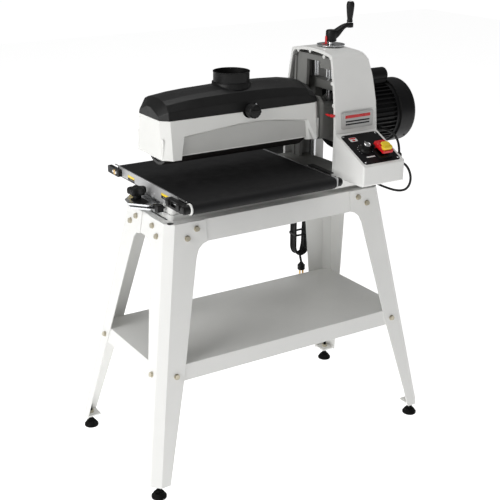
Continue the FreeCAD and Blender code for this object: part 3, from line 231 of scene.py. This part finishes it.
FINISH = {
    WHITE: ["leg_front_left", "leg_front_right", "leg_rear_left", "leg_rear_right", "stand_aprons",
            "stand_shelf", "base_casting", "column_cover", "control_box"],
    HOUSING: ["head_housing"],
    DARK_CAST: ["column_casting", "carriage"],
    ZINC: ["stand_bolts", "stand_nuts"],
    STEEL: ["drive_roller", "idler_roller", "take_up_screws", "guide_posts", "leadscrew",
            "crank_dial", "cover_hinge_pins", "drum_bearings", "shaft_coupling", "motor_rotor",
            "alignment_bracket"],
    BED: ["conveyor_bed"],
    BLACK: ["drive_roller_brackets", "take_up_brackets", "lock_knob", "alignment_knob",
            "speed_knob", "crank_arm", "crank_grip", "dust_port", "cover_knob", "motor_fan",
            "cable_glands", "mains_plug", "conveyor_gearbox", "conveyor_motor", "switch_body"],
    COVER_BLACK: ["dust_cover"],
    MOTOR: ["motor_body", "fan_cover", "capacitor_cover"],
    RUBBER: ["foot_front_left", "foot_front_right", "foot_rear_left", "foot_rear_right"],
    CORD: ["mains_cord", "mains_hank", "conveyor_cord", "motor_cord"],
    RED: ["switch_paddle"],
    YELLOW: ["safety_key"],
    PANEL: ["control_panel"],
    SILVER: ["badge_plate"],
    DRUM_CORE: ["drum"],
    BELT: ["conveyor_belt"],
    GRIT: ["abrasive_strip"],
}
for finish, members in FINISH.items():
    for member in members:
        nodes[member].data.materials.clear()
        nodes[member].data.materials.append(finish)


# ---- mesh helpers ----
def piece(name, mesh, finish, body, smooth=True):
    obj = bpy.data.objects.new(name, mesh)
    bpy.context.scene.collection.objects.link(obj)
    mesh.materials.append(finish)
    if smooth:
        mesh.shade_smooth()
    if body:
        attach(obj, body)
    return obj


def from_bmesh(name, bm, finish, body, smooth=True):
    bmesh.ops.recalc_face_normals(bm, faces=bm.faces)
    mesh = bpy.data.meshes.new(name)
    bm.to_mesh(mesh)
    bm.free()
    return piece(name, mesh, finish, body, smooth)


def soften(obj, width, segments=2, angle=35):
    bevel = obj.modifiers.new("soft_edges", "BEVEL")
    bevel.width = width * MM
    bevel.segments = segments
    bevel.limit_method = "ANGLE"
    bevel.angle_limit = math.radians(angle)
    bevel.harden_normals = True
    return obj


def turned(name, centre, axis, profile, finish, body, count=40, lobes=0, lobe_depth=0.0,
           ring=False):
    """Turned piece: profile is (height, radius) along axis from centre, in millimetres.
    Lobes are a wave round the rim. A ring closes its profile on itself and stays open in the
    middle."""
    bm = bmesh.new()
    turn = Vector((0, 0, 1)).rotation_difference(Vector(axis)).to_matrix()
    rings = []
    for height, radius in profile:
        loop = []
        for i in range(count):
            angle = 2 * math.pi * i / count
            wave = lobe_depth * math.cos(lobes * angle) if radius > lobe_depth * 2 else 0
            r = max(radius + wave, 0)
            offset = turn @ Vector((r * math.cos(angle), r * math.sin(angle), height))
            loop.append(bm.verts.new(centre + offset * MM))
        rings.append(loop)
    for low, high in zip(rings, rings[1:] + rings[:1] if ring else rings[1:]):
        for i in range(count):
            j = (i + 1) % count
            bm.faces.new((low[i], low[j], high[j], high[i]))
    if not ring:
        bm.faces.new(rings[0])
        bm.faces.new(rings[-1])
    obj = from_bmesh(name, bm, finish, body)
    obj.data.set_sharp_from_angle(angle=math.radians(38))
    return obj


def slab(name, outline, out, finish, body, round_by=0.4):
    """Flat piece: outline is points in the frame, pushed by the vector out."""
    bm = bmesh.new()
    low = [bm.verts.new(p) for p in outline]
    high = [bm.verts.new(p + out) for p in outline]
    bm.faces.new(low)
    bm.faces.new(high)
    for i in range(len(low)):
        j = (i + 1) % len(low)
        bm.faces.new((low[i], low[j], high[j], high[i]))
    return soften(from_bmesh(name, bm, finish, body, False), round_by)


def rounded_rectangle(half_u, half_v, radius, steps=5):
    points = []
    for cu, cv, start in ((1, 1, 0), (-1, 1, 90), (-1, -1, 180), (1, -1, 270)):
        for i in range(steps + 1):
            angle = math.radians(start + 90 * i / steps)
            points.append((cu * (half_u - radius) + radius * math.cos(angle),
                           cv * (half_v - radius) + radius * math.sin(angle)))
    return points


def nurbs(name, route, diameter, finish):
    """Round cord on a NURBS line whose control points are the route, in layout millimetres."""
    curve = bpy.data.curves.new(name, "CURVE")
    curve.dimensions = "3D"
    spline = curve.splines.new("NURBS")
    spline.points.add(len(route) - 1)
    for point, place in zip(spline.points, route):
        point.co = (*at(*place), 1)
    spline.order_u = 3
    spline.use_endpoint_u = True
    spline.resolution_u = 8
    curve.bevel_depth = diameter / 2 * MM
    curve.bevel_resolution = 5
    curve.use_fill_caps = True
    curve.materials.append(finish)
    obj = bpy.data.objects.new(name, curve)
    bpy.context.scene.collection.objects.link(obj)
    return obj


def line_of(route, name):
    """Points along the smooth line of a route, in metres."""
    guide = nurbs(name, route, 0.0, CORD)
    guide.data.bevel_depth = 0
    bpy.context.view_layer.update()
    mesh = bpy.data.meshes.new_from_object(guide)
    points = [v.co.copy() for v in mesh.vertices]
    bpy.data.objects.remove(guide)
    bpy.data.meshes.remove(mesh)
    return points


def length_of(points):
    return sum((b - a).length for a, b in zip(points, points[1:]))


# ---- cords ----
MAINS_DIAMETER = 8.0
CORD_DIAMETER = 7.0
HANK = (318.0, 208.0, 520.0)
HANK_RADIUS = 24.5
HANK_HALF_STRAIGHT = 51.5
HANK_TURNS = 4
HANK_PITCH = 8.2
MAINS_ROUTE = [(318, 149, 802), (318, 173, 802), (318, 194, 790), (318, 206, 768),
               (318, 205, 730), (319, 203, 682), (325, 197, 636), (333, 192, 602)]
TAIL_ROUTE = [(338, 227, 450), (334, 225, 428), (337, 218, 405)]
CONVEYOR_ROUTE = [(352, -228, 866), (352, -247.3, 866), (353, -266.8, 854.8), (354, -278, 835.3),
                  (354, -278, 812.7), (353, -266.8, 793.2), (352, -247.3, 782), (350, -219, 776),
                  (346, -188, 776), (338, -158, 780), (330, -134, 787)]
MOTOR_ROUTE = [(352, -224, 892), (352.5, -222, 907), (354, -213, 924), (357, -196, 937),
               (362, -170, 943), (368, -144, 942), (373, -117, 939)]


def hank_turns():
    """Turns of the tied hank: long loops side by side, each a little different."""
    straight = 2 * HANK_HALF_STRAIGHT
    fold = math.pi * HANK_RADIUS
    around = 2 * (straight + fold)
    steps = 18
    count = HANK_TURNS * steps + round(steps * straight / around)
    points = []
    for i in range(count + 1):
        turn = i / steps
        run = turn % 1 * around
        radius = HANK_RADIUS + 0.9 * math.sin(turn * 2.3)
        if run < straight:
            across, up = radius, HANK_HALF_STRAIGHT - run
        elif run < straight + fold:
            angle = (run - straight) / HANK_RADIUS
            across, up = radius * math.cos(angle), -HANK_HALF_STRAIGHT - radius * math.sin(angle)
        elif run < 2 * straight + fold:
            across, up = -radius, run - straight - fold - HANK_HALF_STRAIGHT
        else:
            angle = (run - 2 * straight - fold) / HANK_RADIUS
            across, up = -radius * math.cos(angle), HANK_HALF_STRAIGHT + radius * math.sin(angle)
        beside = (turn - count / steps / 2) * HANK_PITCH
        points.append((HANK[0] + across, HANK[1] + beside, HANK[2] + up))
    return points


def make_mains_lead():
    route = MAINS_ROUTE + hank_turns() + TAIL_ROUTE
    length = length_of(line_of(route, "mains_line"))
    lead = nurbs("mains_lead", route, MAINS_DIAMETER, CORD)
    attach(lead, "machine")
    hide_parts("mains_cord", "mains_hank")
    relief = turned("mains_relief", at(318, 141, 802), (0, 1, 0),
                    [(0, 8), (4, 7.6), (8, 6.6), (9, 6.0), (11, 6.4), (13, 5.8), (15, 6.2),
                     (17, 5.4), (20, 5.8), (22, 5.0), (26, 4.6), (28, 4.2)], BLACK, "machine")
    tie = band("hank_tie", HANK, HANK_RADIUS + 5.2, 22.6, 7)


def band(name, centre, half_x, half_y, height):
    """Cable tie: a thin rounded band round the hank."""
    bm = bmesh.new()
    loops = []
    for grow, dz in ((0, -height / 2), (0.8, -height / 2), (0.8, height / 2), (0, height / 2)):
        outline = rounded_rectangle(half_x + grow, half_y + grow, 9)
        loops.append([bm.verts.new(at(centre[0] + u, centre[1] + v, centre[2] + dz))
                      for u, v in outline])
    for k in range(4):
        first, second = loops[k], loops[(k + 1) % 4]
        for i in range(len(first)):
            j = (i + 1) % len(first)
            bm.faces.new((first[i], first[j], second[j], second[i]))
    return from_bmesh(name, bm, BLACK, "machine", False)


def make_conveyor_cord():
    length = length_of(line_of(CONVEYOR_ROUTE, "conveyor_line"))
    cord = nurbs("conveyor_lead", CONVEYOR_ROUTE, CORD_DIAMETER, CORD)
    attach(cord, "machine")
    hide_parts("conveyor_cord")


def make_motor_cord():
    """Mesh tube along a bent route from the fixed box to the moving head; it stays fixed in the
    frame.
    """
    path = line_of(MOTOR_ROUTE, "motor_line")
    path = [p for i, p in enumerate(path) if i == 0 or (p - path[i - 1]).length > 1e-6]
    bm = bmesh.new()
    around = 14
    radius = CORD_DIAMETER / 2 * MM
    side = Vector((1, 0, 0))
    rings = []
    for i, point in enumerate(path):
        heading = (path[min(i + 1, len(path) - 1)] - path[max(i - 1, 0)]).normalized()
        side = (side - heading * side.dot(heading)).normalized()
        other = heading.cross(side)
        rings.append([bm.verts.new(point + (side * math.cos(2 * math.pi * k / around)
                                            + other * math.sin(2 * math.pi * k / around)) * radius)
                      for k in range(around)])
    for low, high in zip(rings, rings[1:]):
        for k in range(around):
            j = (k + 1) % around
            bm.faces.new((low[k], low[j], high[j], high[k]))
    bm.faces.new(rings[0])
    bm.faces.new(rings[-1])
    cord = from_bmesh("motor_lead", bm, CORD, None)
    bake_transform(cord)
    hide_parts("motor_cord")


make_mains_lead()
make_conveyor_cord()
make_motor_cord()


# ---- dust cover ----
# Each hoop: place along the head, half width, height of the crown, height of the shoulders.
COVER_HOOPS = ((-350, 60, 1066, 1058), (-330, 80.3, 1089, 1081), (-275, 80.3, 1096.5, 1087.5),
               (-220, 80.3, 1101, 1091), (-140, 80.3, 1104.8, 1093.2), (-59, 80.3, 1106, 1094),
               (10, 80.3, 1105, 1092.5), (77, 80.3, 1102, 1089), (130, 80.3, 1094, 1080.6),
               (158, 75, 1079, 1066), (171, 61, 1056, 1048))
SEAM = 1036.4            # where the cover meets the head


def cover_hoop(half_y, crown, shoulder):
    """Half hoop from the front edge over the crown to the rear edge."""
    front = [(half_y, SEAM), (half_y - 4, SEAM + (shoulder - SEAM) * 0.5),
             (half_y - 19, shoulder - 5), (half_y - 38, shoulder + (crown - shoulder) * 0.35),
             (0.2 * half_y, crown - 0.6)]
    return [(-y, z) for y, z in front] + [(y, z) for y, z in reversed(front)]


def make_dust_cover():
    bm = bmesh.new()
    rows = [[bm.verts.new(at(x, y, z)) for y, z in cover_hoop(*hoop)]
            for x, *hoop in COVER_HOOPS]
    for row, after in zip(rows, rows[1:]):
        for i in range(len(row) - 1):
            bm.faces.new((row[i], row[i + 1], after[i + 1], after[i]))
    bm.faces.new(rows[0])
    bm.faces.new(rows[-1])
    cover = from_bmesh("dust_cover_shell", bm, COVER_BLACK, "dust_cover")
    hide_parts("dust_cover")
    shell = cover.modifiers.new("wall", "SOLIDIFY")
    shell.thickness = 3 * MM
    shell.offset = -1
    soften(cover, 7, 4, 11)
    for x in (-250, 60):
        turned("cover_hinge_%d" % (x > 0), at(x - 12, 86.5, 1040), (1, 0, 0),
               [(0, 3), (0.4, 4.8), (23.6, 4.8), (24, 3)], BLACK, "dust_cover")
        leaf = [at(x - 12, 78, 1036.6), at(x + 12, 78, 1036.6), at(x + 12, 87, 1036.6),
                at(x - 12, 87, 1036.6)]
        slab("cover_hinge_leaf_%d" % (x > 0), leaf, Vector((0, 0, 5 * MM)), BLACK, "dust_cover", 1)


make_dust_cover()


# ---- head trim ----
def recess_panel(name, sign):
    """Panel on the floor of the arched recess, painted a darker grey as painted shade for the
    recess, with its light lower rim.
    """
    outline = [(-297.5, 938), (-286, 987), (-200, 997), (-112, 1002.5), (-40, 1003.5), (22, 998.5),
               (114, 985.5), (119, 938)]
    points = [at(x, sign * 79.8, z) for x, z in outline]
    slab(name, points, Vector((0, sign * 0.8 * MM, 0)), RECESS_SHADE, "head", 0.3)
    rim = [at(-298, sign * 79.8, 937.2), at(120, sign * 79.8, 937.2), at(120, sign * 79.8, 940),
           at(-298, sign * 79.8, 940)]
    slab(name + "_rim", rim, Vector((0, sign * 2.4 * MM, 0)), HOUSING, "head", 0.8)


recess_panel("front_recess_panel", -1)
recess_panel("rear_recess_panel", 1)


SCREW_HEAD = ((0, 1), (0.3, 1), (0.5, 0.8), (0.5625, 0.35), (0.3, 0.3), (0.28, 0.1))
COVER_KNOB = (-77, 1040)
PORT_X = -87.6


def screw(name, place, axis, radius, body, finish):
    """Small pan-head screw with a dimple in place of its recess."""
    profile = [(height * radius, share * radius) for height, share in SCREW_HEAD]
    turned(name, place, axis, profile, finish, body, 24)


def make_cover_details():
    screw("cover_screw", at(-56, -80.6, 1053), (0, -1, 0), 3.2, "dust_cover", STEEL)
    knob_x, knob_z = COVER_KNOB
    turned("cover_knob_face", at(knob_x, -101, knob_z), (0, -1, 0),
           [(0, 19), (3, 19.6), (8, 19.4), (11, 17.5), (12.5, 13.5), (12.8, 8), (12.8, 2)], BLACK,
           "cover_knob", 60, 12, 0.45)
    wing = [at(knob_x + u, -113, knob_z + v) for u, v in rounded_rectangle(15.5, 4.6, 4.2)]
    slab("cover_knob_wing", wing, Vector((0, -5 * MM, 0)), BLACK, "cover_knob", 1.5)
    turned("dust_port_lip", at(PORT_X, 0, 1134.4), (0, 0, 1),
           [(0, 51.5), (1, 52.4), (3, 52.4), (3.5, 51.6), (3.5, 48.2), (2, 47.6)], BLACK,
           "dust_cover", 72, ring=True)
    turned("dust_port_base", at(PORT_X, 0, 1094), (0, 0, 1),
           [(0, 58), (3, 57.5), (8, 55.6), (13, 55.2), (14.4, 54.4), (14.6, 51), (0, 51)], BLACK,
           "dust_cover", 72, ring=True)


make_cover_details()


DRUM_RADIUS = 63.5
STRIP_START = -324
STRIP_WIDTH = 453
SEAM_TURNS = 5
SEAM_STEPS = 36


def make_abrasive_seam():
    """Butt seam of the strip that is wound on the drum as a helix."""
    curve = bpy.data.curves.new("abrasive_seam", "CURVE")
    curve.dimensions = "3D"
    spline = curve.splines.new("POLY")
    count = SEAM_TURNS * SEAM_STEPS
    spline.points.add(count)
    for i in range(count + 1):
        angle = 2 * math.pi * i / SEAM_STEPS
        x = STRIP_START + STRIP_WIDTH * i / count
        place = at(x, DRUM_RADIUS * math.sin(angle), DRUM_Z - DRUM_RADIUS * math.cos(angle))
        spline.points[i].co = (*place, 1)
    curve.bevel_depth = 0.35 * MM
    curve.materials.append(LABEL_DARK)
    seam = bpy.data.objects.new("abrasive_seam", curve)
    bpy.context.scene.collection.objects.link(seam)
    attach(seam, "drum")


make_abrasive_seam()


# ---- column trim ----
BADGE_X = 268
BADGE_FACE = -129.3


def make_badge():
    """Plain plate: silver with a red bar over two dark lines, no lettering."""
    y = BADGE_FACE
    out = Vector((0, -0.5 * MM, 0))
    field = [at(BADGE_X + u, y, 981.5 + v) for u, v in rounded_rectangle(54, 21.5, 4)]
    slab("badge_field", field, out, SILVER, "machine", 0.2)
    bar = [at(BADGE_X + u, y - 0.5, 993 + v) for u, v in rounded_rectangle(46, 4.6, 0.8)]
    slab("badge_bar", bar, out * 0.6, RED, "machine", 0.1)
    for i in range(2):
        line = [at(BADGE_X + u, y - 0.5, 979 - 8.5 * i + v)
                for u, v in rounded_rectangle(44, 2.2, 1.0)]
        slab("badge_line_%d" % i, line, out * 0.6, LABEL_DARK, "machine", 0.1)


make_badge()


def make_column_trim():
    """Tabs on the open edge of the column cover, and the height pointer."""
    for i, (y, z) in enumerate(((68, 1166), (10, 1171), (-58, 1163), (-101, 1092), (-112, 1030))):
        turned("cover_tab_%d" % i, at(190.5, y, z - 3), (-1, 0, 0),
               [(0, 5.5), (1.2, 5.5), (1.6, 4.8), (1.6, 2.6), (2.4, 2.4), (2.6, 1)], WHITE,
               "machine", 24)
    pointer = [at(181, -90, 1001), at(181, -90, 998), at(181, -104, 995.5), at(181, -112, 999.5),
               at(181, -104, 1003.5)]
    slab("height_pointer", pointer, Vector((-2 * MM, 0, 0)), RED, "machine", 0.4)
    arm = [at(188, -110, 996), at(188, -124, 996), at(188, -124, 1003), at(188, -110, 1003)]
    slab("height_pointer_arm", arm, Vector((-9 * MM, 0, 0)), RED, "machine", 0.4)


make_column_trim()


GRIP_X = SCREW_X + 67
DIAL_MARKS = 16


def make_crank():
    """Cast crank: smooth S-shaped arm between a hub and the grip's boss."""
    hub = turned("crank_hub", at(SCREW_X, 0, 1191.5), (0, 0, 1),
                 [(0, 14), (0.5, 15.8), (2, 16.4), (22, 16.0), (30, 15.6), (33, 14.2), (34, 11),
                  (34.5, 4)], BLACK, "crank", 48)
    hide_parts("crank_arm")
    turned("crank_collar", at(SCREW_X, 0, 1184.4), (0, 0, 1),
           [(0, 9.8), (0.6, 10.4), (6, 10.4), (7.2, 9.6)], CHROME, "crank", 40)
    stations = [(0, 1209, 28, 26), (13, 1211, 25, 24), (25, 1219, 22, 19), (37, 1228, 20, 14),
                (48, 1233.5, 19, 12), (60, 1235, 19, 12), (70, 1235, 20, 12)]
    bm = bmesh.new()
    rings = []
    for i, (x, z, wide, high) in enumerate(stations):
        before, after = stations[max(i - 1, 0)], stations[min(i + 1, len(stations) - 1)]
        heading = Vector((after[0] - before[0], 0, after[1] - before[1])).normalized()
        up = Vector((-heading.z, 0, heading.x))
        ring = []
        for u, v in rounded_rectangle(wide / 2, high / 2, 4.5, 2):
            offset = Vector((0, u, 0)) + up * v
            ring.append(bm.verts.new(at(SCREW_X + x + offset.x, offset.y, z + offset.z)))
        rings.append(ring)
    for low, high_ring in zip(rings, rings[1:]):
        for k in range(len(low)):
            j = (k + 1) % len(low)
            bm.faces.new((low[k], low[j], high_ring[j], high_ring[k]))
    bm.faces.new(rings[0])
    bm.faces.new(rings[-1])
    arm = from_bmesh("crank_arm_cast", bm, BLACK, "crank")
    arm.modifiers.new("smooth", "SUBSURF").levels = 2
    turned("crank_boss", at(GRIP_X, 0, 1227), (0, 0, 1),
           [(0, 8), (0.5, 10.2), (2, 11.2), (11, 11.2), (13.5, 10), (14, 5)], BLACK, "crank", 40)
    grip = turned("crank_handle", at(GRIP_X, 0, 1242.2), (0, 0, 1),
                  [(0, 6), (0.4, 8.4), (4, 8.8), (7, 8.0), (10, 7.8), (16, 8.7), (26, 10),
                   (36, 11), (46, 11.7), (52, 11.6), (57, 10.6), (60, 8.8)], BLACK,
                  "crank_grip", 48)
    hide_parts("crank_grip")
    turned("crank_ferrule", at(GRIP_X, 0, 1241.2), (0, 0, 1),
           [(0, 6.5), (0.3, 7.4), (1.8, 7.4), (2.1, 6.5)], CHROME, "crank_grip", 40)
    turned("crank_cap", at(GRIP_X, 0, 1301.4), (0, 0, 1),
           [(0, 7.4), (0.5, 7.4), (1.6, 6.6), (2.3, 4), (2.5, 1)], CHROME, "crank_grip", 40)
    pointer = [at(SCREW_X - 14, -4, 1190), at(SCREW_X - 14, 4, 1190), at(SCREW_X - 22, 3, 1190),
               at(SCREW_X - 33, 0, 1190), at(SCREW_X - 22, -3, 1190)]
    slab("crank_pointer", [p - Vector((0, 0, 4.6 * MM)) for p in pointer],
         Vector((0, 0, 1.6 * MM)), RED, "crank", 0.3)
    tag = [at(SCREW_X - 17.5, y, z) for y, z in ((-4.5, 1186.5), (4.5, 1186.5), (4.5, 1206),
                                                 (0, 1210), (-4.5, 1206))]
    slab("crank_pointer_tag", tag, Vector((-1.4 * MM, 0, 0)), RED, "crank", 0.3)
    for i in range(DIAL_MARKS):
        angle = math.radians(360 / DIAL_MARKS * i)
        along_ray = Vector((math.cos(angle), math.sin(angle), 0))
        across = Vector((-along_ray.y, along_ray.x, 0))
        middle = at(SCREW_X, 0, 1184.0)
        mark = [middle + (along_ray * u + across * v) * MM
                for u, v in ((33, -0.5), (39, -0.5), (39, 0.5), (33, 0.5))]
        slab("dial_mark_%d" % i, mark, Vector((0, 0, 0.25 * MM)), LABEL_DARK, "machine", 0.05)


make_crank()


# ---- control box ----
# Places on the sloping panel are given by x and the way up the slope from its front edge.
SLOPE_FRONT = Vector((0, BOX_FRONT, 880))
SLOPE_BACK = Vector((0, -127.5, 945))
SLOPE = (SLOPE_BACK - SLOPE_FRONT).normalized()
SLOPE_UP = Vector((0, -SLOPE.z, SLOPE.y))
SPEED_KNOB = (240, 67)


def on_slope(x, up_slope, out):
    return at(*(Vector((x, 0, 0)) + SLOPE_FRONT + SLOPE * up_slope + SLOPE_UP * out))


def slope_plate(name, x, s, half_x, half_s, radius, height, thick, finish, body):
    outline = [on_slope(x + u, s + v, height) for u, v in rounded_rectangle(half_x, half_s, radius)]
    return slab(name, outline, SLOPE_UP * thick * MM, finish, body, min(thick, radius) * 0.4)


def make_controls():
    knob_x, knob_s = SPEED_KNOB
    turned("speed_knob_cap", on_slope(knob_x, knob_s, 22), SLOPE_UP,
           [(0, 10.2), (0.8, 10.2), (1.8, 9.2), (2.0, 8.2), (1.4, 7.4), (1.6, 2)], CHROME,
           "speed_knob", 40)
    slope_plate("speed_knob_line", knob_x, knob_s + 11, 0.8, 4.2, 0.6, 22.1, 0.5, LABEL_LIGHT,
                "speed_knob")
    for i in range(11):
        angle = math.radians(-210 + 24 * i)
        slope_plate("speed_dot_%d" % i, knob_x + 22.5 * math.cos(angle),
                    knob_s - 22.5 * math.sin(angle), 1.1, 1.1, 1.0, 1.6, 0.25, LABEL_LIGHT,
                    "machine")
    slope_plate("speed_label", knob_x, 36, 15, 2.4, 1.0, 1.6, 0.2, LABEL_LIGHT, "machine")
    slope_plate("panel_sticker", 231, 117, 13, 9, 4, 1.6, 0.3, LABEL_LIGHT, "machine")
    slope_plate("panel_sticker_band", 231, 122, 11, 2.6, 1.2, 1.9, 0.2, RED, "machine")
    slope_plate("panel_sticker_mark", 231, 113.5, 5, 3.4, 3.2, 1.9, 0.2, RED, "machine")
    slope_plate("key_grip", 285, 44, 15, 10, 9, 33, 3.4, YELLOW, "safety_key")
    slope_plate("paddle_pad", 285, 46, 19.5, 15.5, 9, 24.5, 4.5, RED, "switch_paddle")
    slope_plate("paddle_rib", 285, 62, 15, 2.2, 1.8, 26, 1.4, RED, "switch_paddle")
    for i, (x, s) in enumerate(((206, 15), (324, 15), (206, 133), (324, 133))):
        screw("panel_screw_%d" % i, on_slope(x, s, 1.6), SLOPE_UP, 3.0, "machine", STEEL)


make_controls()


# ---- bed and stand trim ----
def make_labels():
    """Small two-colour labels without lettering on the bed's left side."""
    for i, (y, z) in enumerate(((126, 829), (-79, 829.5))):
        x = LEFT_FACE
        top = [at(x, y + u, z + 4 + v) for u, v in rounded_rectangle(20.5, 3.6, 0.8)]
        slab("label_top_%d" % i, top, Vector((-0.4 * MM, 0, 0)), YELLOW, "machine", 0.1)
        low = [at(x, y + u, z - 3.8 + v) for u, v in rounded_rectangle(20.5, 4.0, 0.8)]
        slab("label_low_%d" % i, low, Vector((-0.4 * MM, 0, 0)), LABEL_DARK, "machine", 0.1)
        bar = [at(x - 0.4, y - 3 + u, z - 3.6 + v) for u, v in rounded_rectangle(12, 0.5, 0.4)]
        slab("label_bar_%d" % i, bar, Vector((-0.15 * MM, 0, 0)), LABEL_LIGHT, "machine", 0.05)


make_labels()


LOCK_KNOB = (-380, 25)
IDLER_AXIS = (-211.2, 831.4)


def make_bed_trim():
    star = turned("lock_knob_star", at(*LOCK_KNOB, 816), (0, 0, 1),
                  [(0, 18), (1.5, 22.5), (5, 24.4), (14, 24.4), (18, 22.5), (20, 18), (20.5, 9),
                   (19.5, 8), (19.5, 2)], BLACK, "lock_knob", 90, 5, 4.0)
    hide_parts("lock_knob")
    turned("lock_knob_hub", at(*LOCK_KNOB, 803.6), (0, 0, 1),
           [(0, 9), (0.5, 12), (4, 12.4), (12.5, 11.5)], BLACK, "lock_knob", 40)
    turned("lock_knob_stud", at(*LOCK_KNOB, 779), (0, 0, 1), [(0, 3.6), (0.6, 4), (25, 4)], STEEL,
           "lock_knob", 24)
    dial = [at(-384 + u, 2 + v, 803) for u, v in rounded_rectangle(17, 30, 10)]
    slab("alignment_dial", dial, Vector((0, 0, 1.4 * MM)), BLACK, "machine", 0.4)
    for i, y in enumerate((243, 224)):
        screw("rear_bracket_screw_%d" % i, at(-359.5, y - 22, 832), (-1, 0, 0), 4.2, "machine",
              CHROME)
    turned("rear_bracket_bush", at(-359.5, 211.2, 831.4), (-1, 0, 0),
           [(0, 8), (1, 8), (1.5, 7), (1.5, 6.2)], BRASS, "machine", 36)
    turned("idler_end_disc", at(-343.7, -212.2, 831.4), (-1, 0, 0),
           [(0, 16), (3.2, 16), (4.4, 14.8), (4.6, 12)], WHITE, "machine", 40)
    for i, (y, z, r) in enumerate(((-128, 830, 8.5), (-186, 832, 9.5), (*IDLER_AXIS, 10))):
        turned("take_up_boss_%d" % i, at(-363.5, y, z), (-1, 0, 0),
               [(0, r), (4, r), (5.5, r - 1.4), (5.8, 2)], BLACK, "machine", 36)
        turned("take_up_boss_right_%d" % i, at(146.5, y, z), (1, 0, 0),
               [(0, r), (4, r), (5.5, r - 1.4), (5.8, 2)], BLACK, "machine", 36)
    for name, x in (("left", -345.6), ("right", 128.6)):
        edge = [at(x + u, 18 + v, 846.6) for u, v in rounded_rectangle(1.7, 216, 0.8, 2)]
        slab("belt_edge_" + name, edge, Vector((0, 0, 2.2 * MM)), CHROME, "machine", 0.4)
    guard = [at(144, -58, 846), at(166, -58, 846), at(160, -166, 846), at(144, -166, 846)]
    slab("belt_edge_guard", guard, Vector((0, 0, -4 * MM)), BLACK, "machine", 1.2)
    for i, (x, y) in enumerate(((-352, -116), (352, -116), (-352, 116), (352, 116))):
        turned("leg_top_plug_%d" % i, at(x, y, 763.6), (0, 0, 1),
               [(0, 9), (0.9, 9), (1.5, 7.8), (1.6, 2)], BLACK, "machine", 32)


make_bed_trim()


FAN_COVER_RADIUS = 98


def make_motor_trim():
    for i in range(4):
        angle = math.radians(45 + 90 * i)
        outward = (0, math.cos(angle), math.sin(angle))
        place = at(505, FAN_COVER_RADIUS * outward[1], DRUM_Z + FAN_COVER_RADIUS * outward[2])
        screw("fan_cover_screw_%d" % i, place, outward, 3.4, "head", BLACK)
    turned("fan_cover_rim", at(465.2, 0, DRUM_Z), (1, 0, 0),
           [(0, 96.6), (0.6, 97.4), (3, 97.4), (3, 80), (0, 80)], BLACK, "head", 72, ring=True)


make_motor_trim()


PLUG_X = 337
PLUG_FACE = 378.4        # underside of the plug's body


def make_plug_blades():
    """Brass faces over the plug's flat blades and its round pin."""
    for i, side in enumerate((-1, 1)):
        blade = [at(PLUG_X + side * 6.4 + u, 216 + v, PLUG_FACE)
                 for u, v in rounded_rectangle(1.0, 3.4, 0.3, 2)]
        slab("plug_blade_%d" % i, blade, Vector((0, 0, -17.6 * MM)), BRASS, "machine", 0.2)
    turned("plug_pin", at(PLUG_X, 224, PLUG_FACE), (0, 0, -1),
           [(0, 2.6), (16, 2.6), (18.3, 1.6), (18.6, 0.4)], BRASS, "machine", 20)


make_plug_blades()


# ---- studio ----
FLOOR_HALF = 8.0         # metres
FLOOR_GLOW = 0.82
BACKDROP_SEEN = 1.02
BACKDROP_LIGHT = 0.17
LAMPS = (("key", (-3.7, -0.5, 2.2), 2.4, 90), ("front", (-1.6, -4.0, 2.6), 2.6, 10),
         ("top", (0.2, 0.3, 4.2), 2.6, 48))
LAMPS_AIM = Vector((0, 0, 0.8))


def make_studio():
    """White floor and backdrop, and soft lamps: name, place, size in metres and watts."""
    floor_mesh = bpy.data.meshes.new("floor")
    half = FLOOR_HALF
    corners = [(-half, -half, 0), (half, -half, 0), (half, half, 0), (-half, half, 0)]
    floor_mesh.from_pydata(corners, [], [(0, 1, 2, 3)])
    n = Nodes("floor_white")
    n.join(n.blend(n.noise(2.0), (0.86, 0.86, 0.86), (0.88, 0.88, 0.88)),
           n.shader.inputs["Base Color"])
    n.set(Roughness=0.9)
    n.shader.inputs["Emission Color"].default_value = (1, 1, 1, 1)
    n.shader.inputs["Emission Strength"].default_value = FLOOR_GLOW
    floor_mesh.materials.append(n.material)
    floor = bpy.data.objects.new("floor", floor_mesh)
    bpy.context.scene.collection.objects.link(floor)

    world = bpy.data.worlds.new("studio")
    world.use_nodes = True
    tree = world.node_tree
    light_path = tree.nodes.new("ShaderNodeLightPath")
    seen = tree.nodes.new("ShaderNodeBackground")
    lit = tree.nodes["Background"]
    mix = tree.nodes.new("ShaderNodeMixShader")
    seen.inputs["Color"].default_value = (1, 1, 1, 1)
    seen.inputs["Strength"].default_value = BACKDROP_SEEN
    lit.inputs["Color"].default_value = (1, 1, 1, 1)
    lit.inputs["Strength"].default_value = BACKDROP_LIGHT
    tree.links.new(light_path.outputs["Is Camera Ray"], mix.inputs["Fac"])
    tree.links.new(lit.outputs["Background"], mix.inputs[1])
    tree.links.new(seen.outputs["Background"], mix.inputs[2])
    tree.links.new(mix.outputs["Shader"], tree.nodes["World Output"].inputs["Surface"])
    bpy.context.scene.world = world
    bpy.context.scene.view_settings.view_transform = "Standard"

    for name, place, size, power in LAMPS:
        data = bpy.data.lights.new(name, "AREA")
        data.size = size
        data.energy = power
        lamp = bpy.data.objects.new(name, data)
        lamp.location = place
        aim = LAMPS_AIM - Vector(place)
        lamp.rotation_euler = aim.to_track_quat("-Z", "Y").to_euler()
        bpy.context.scene.collection.objects.link(lamp)


make_studio()
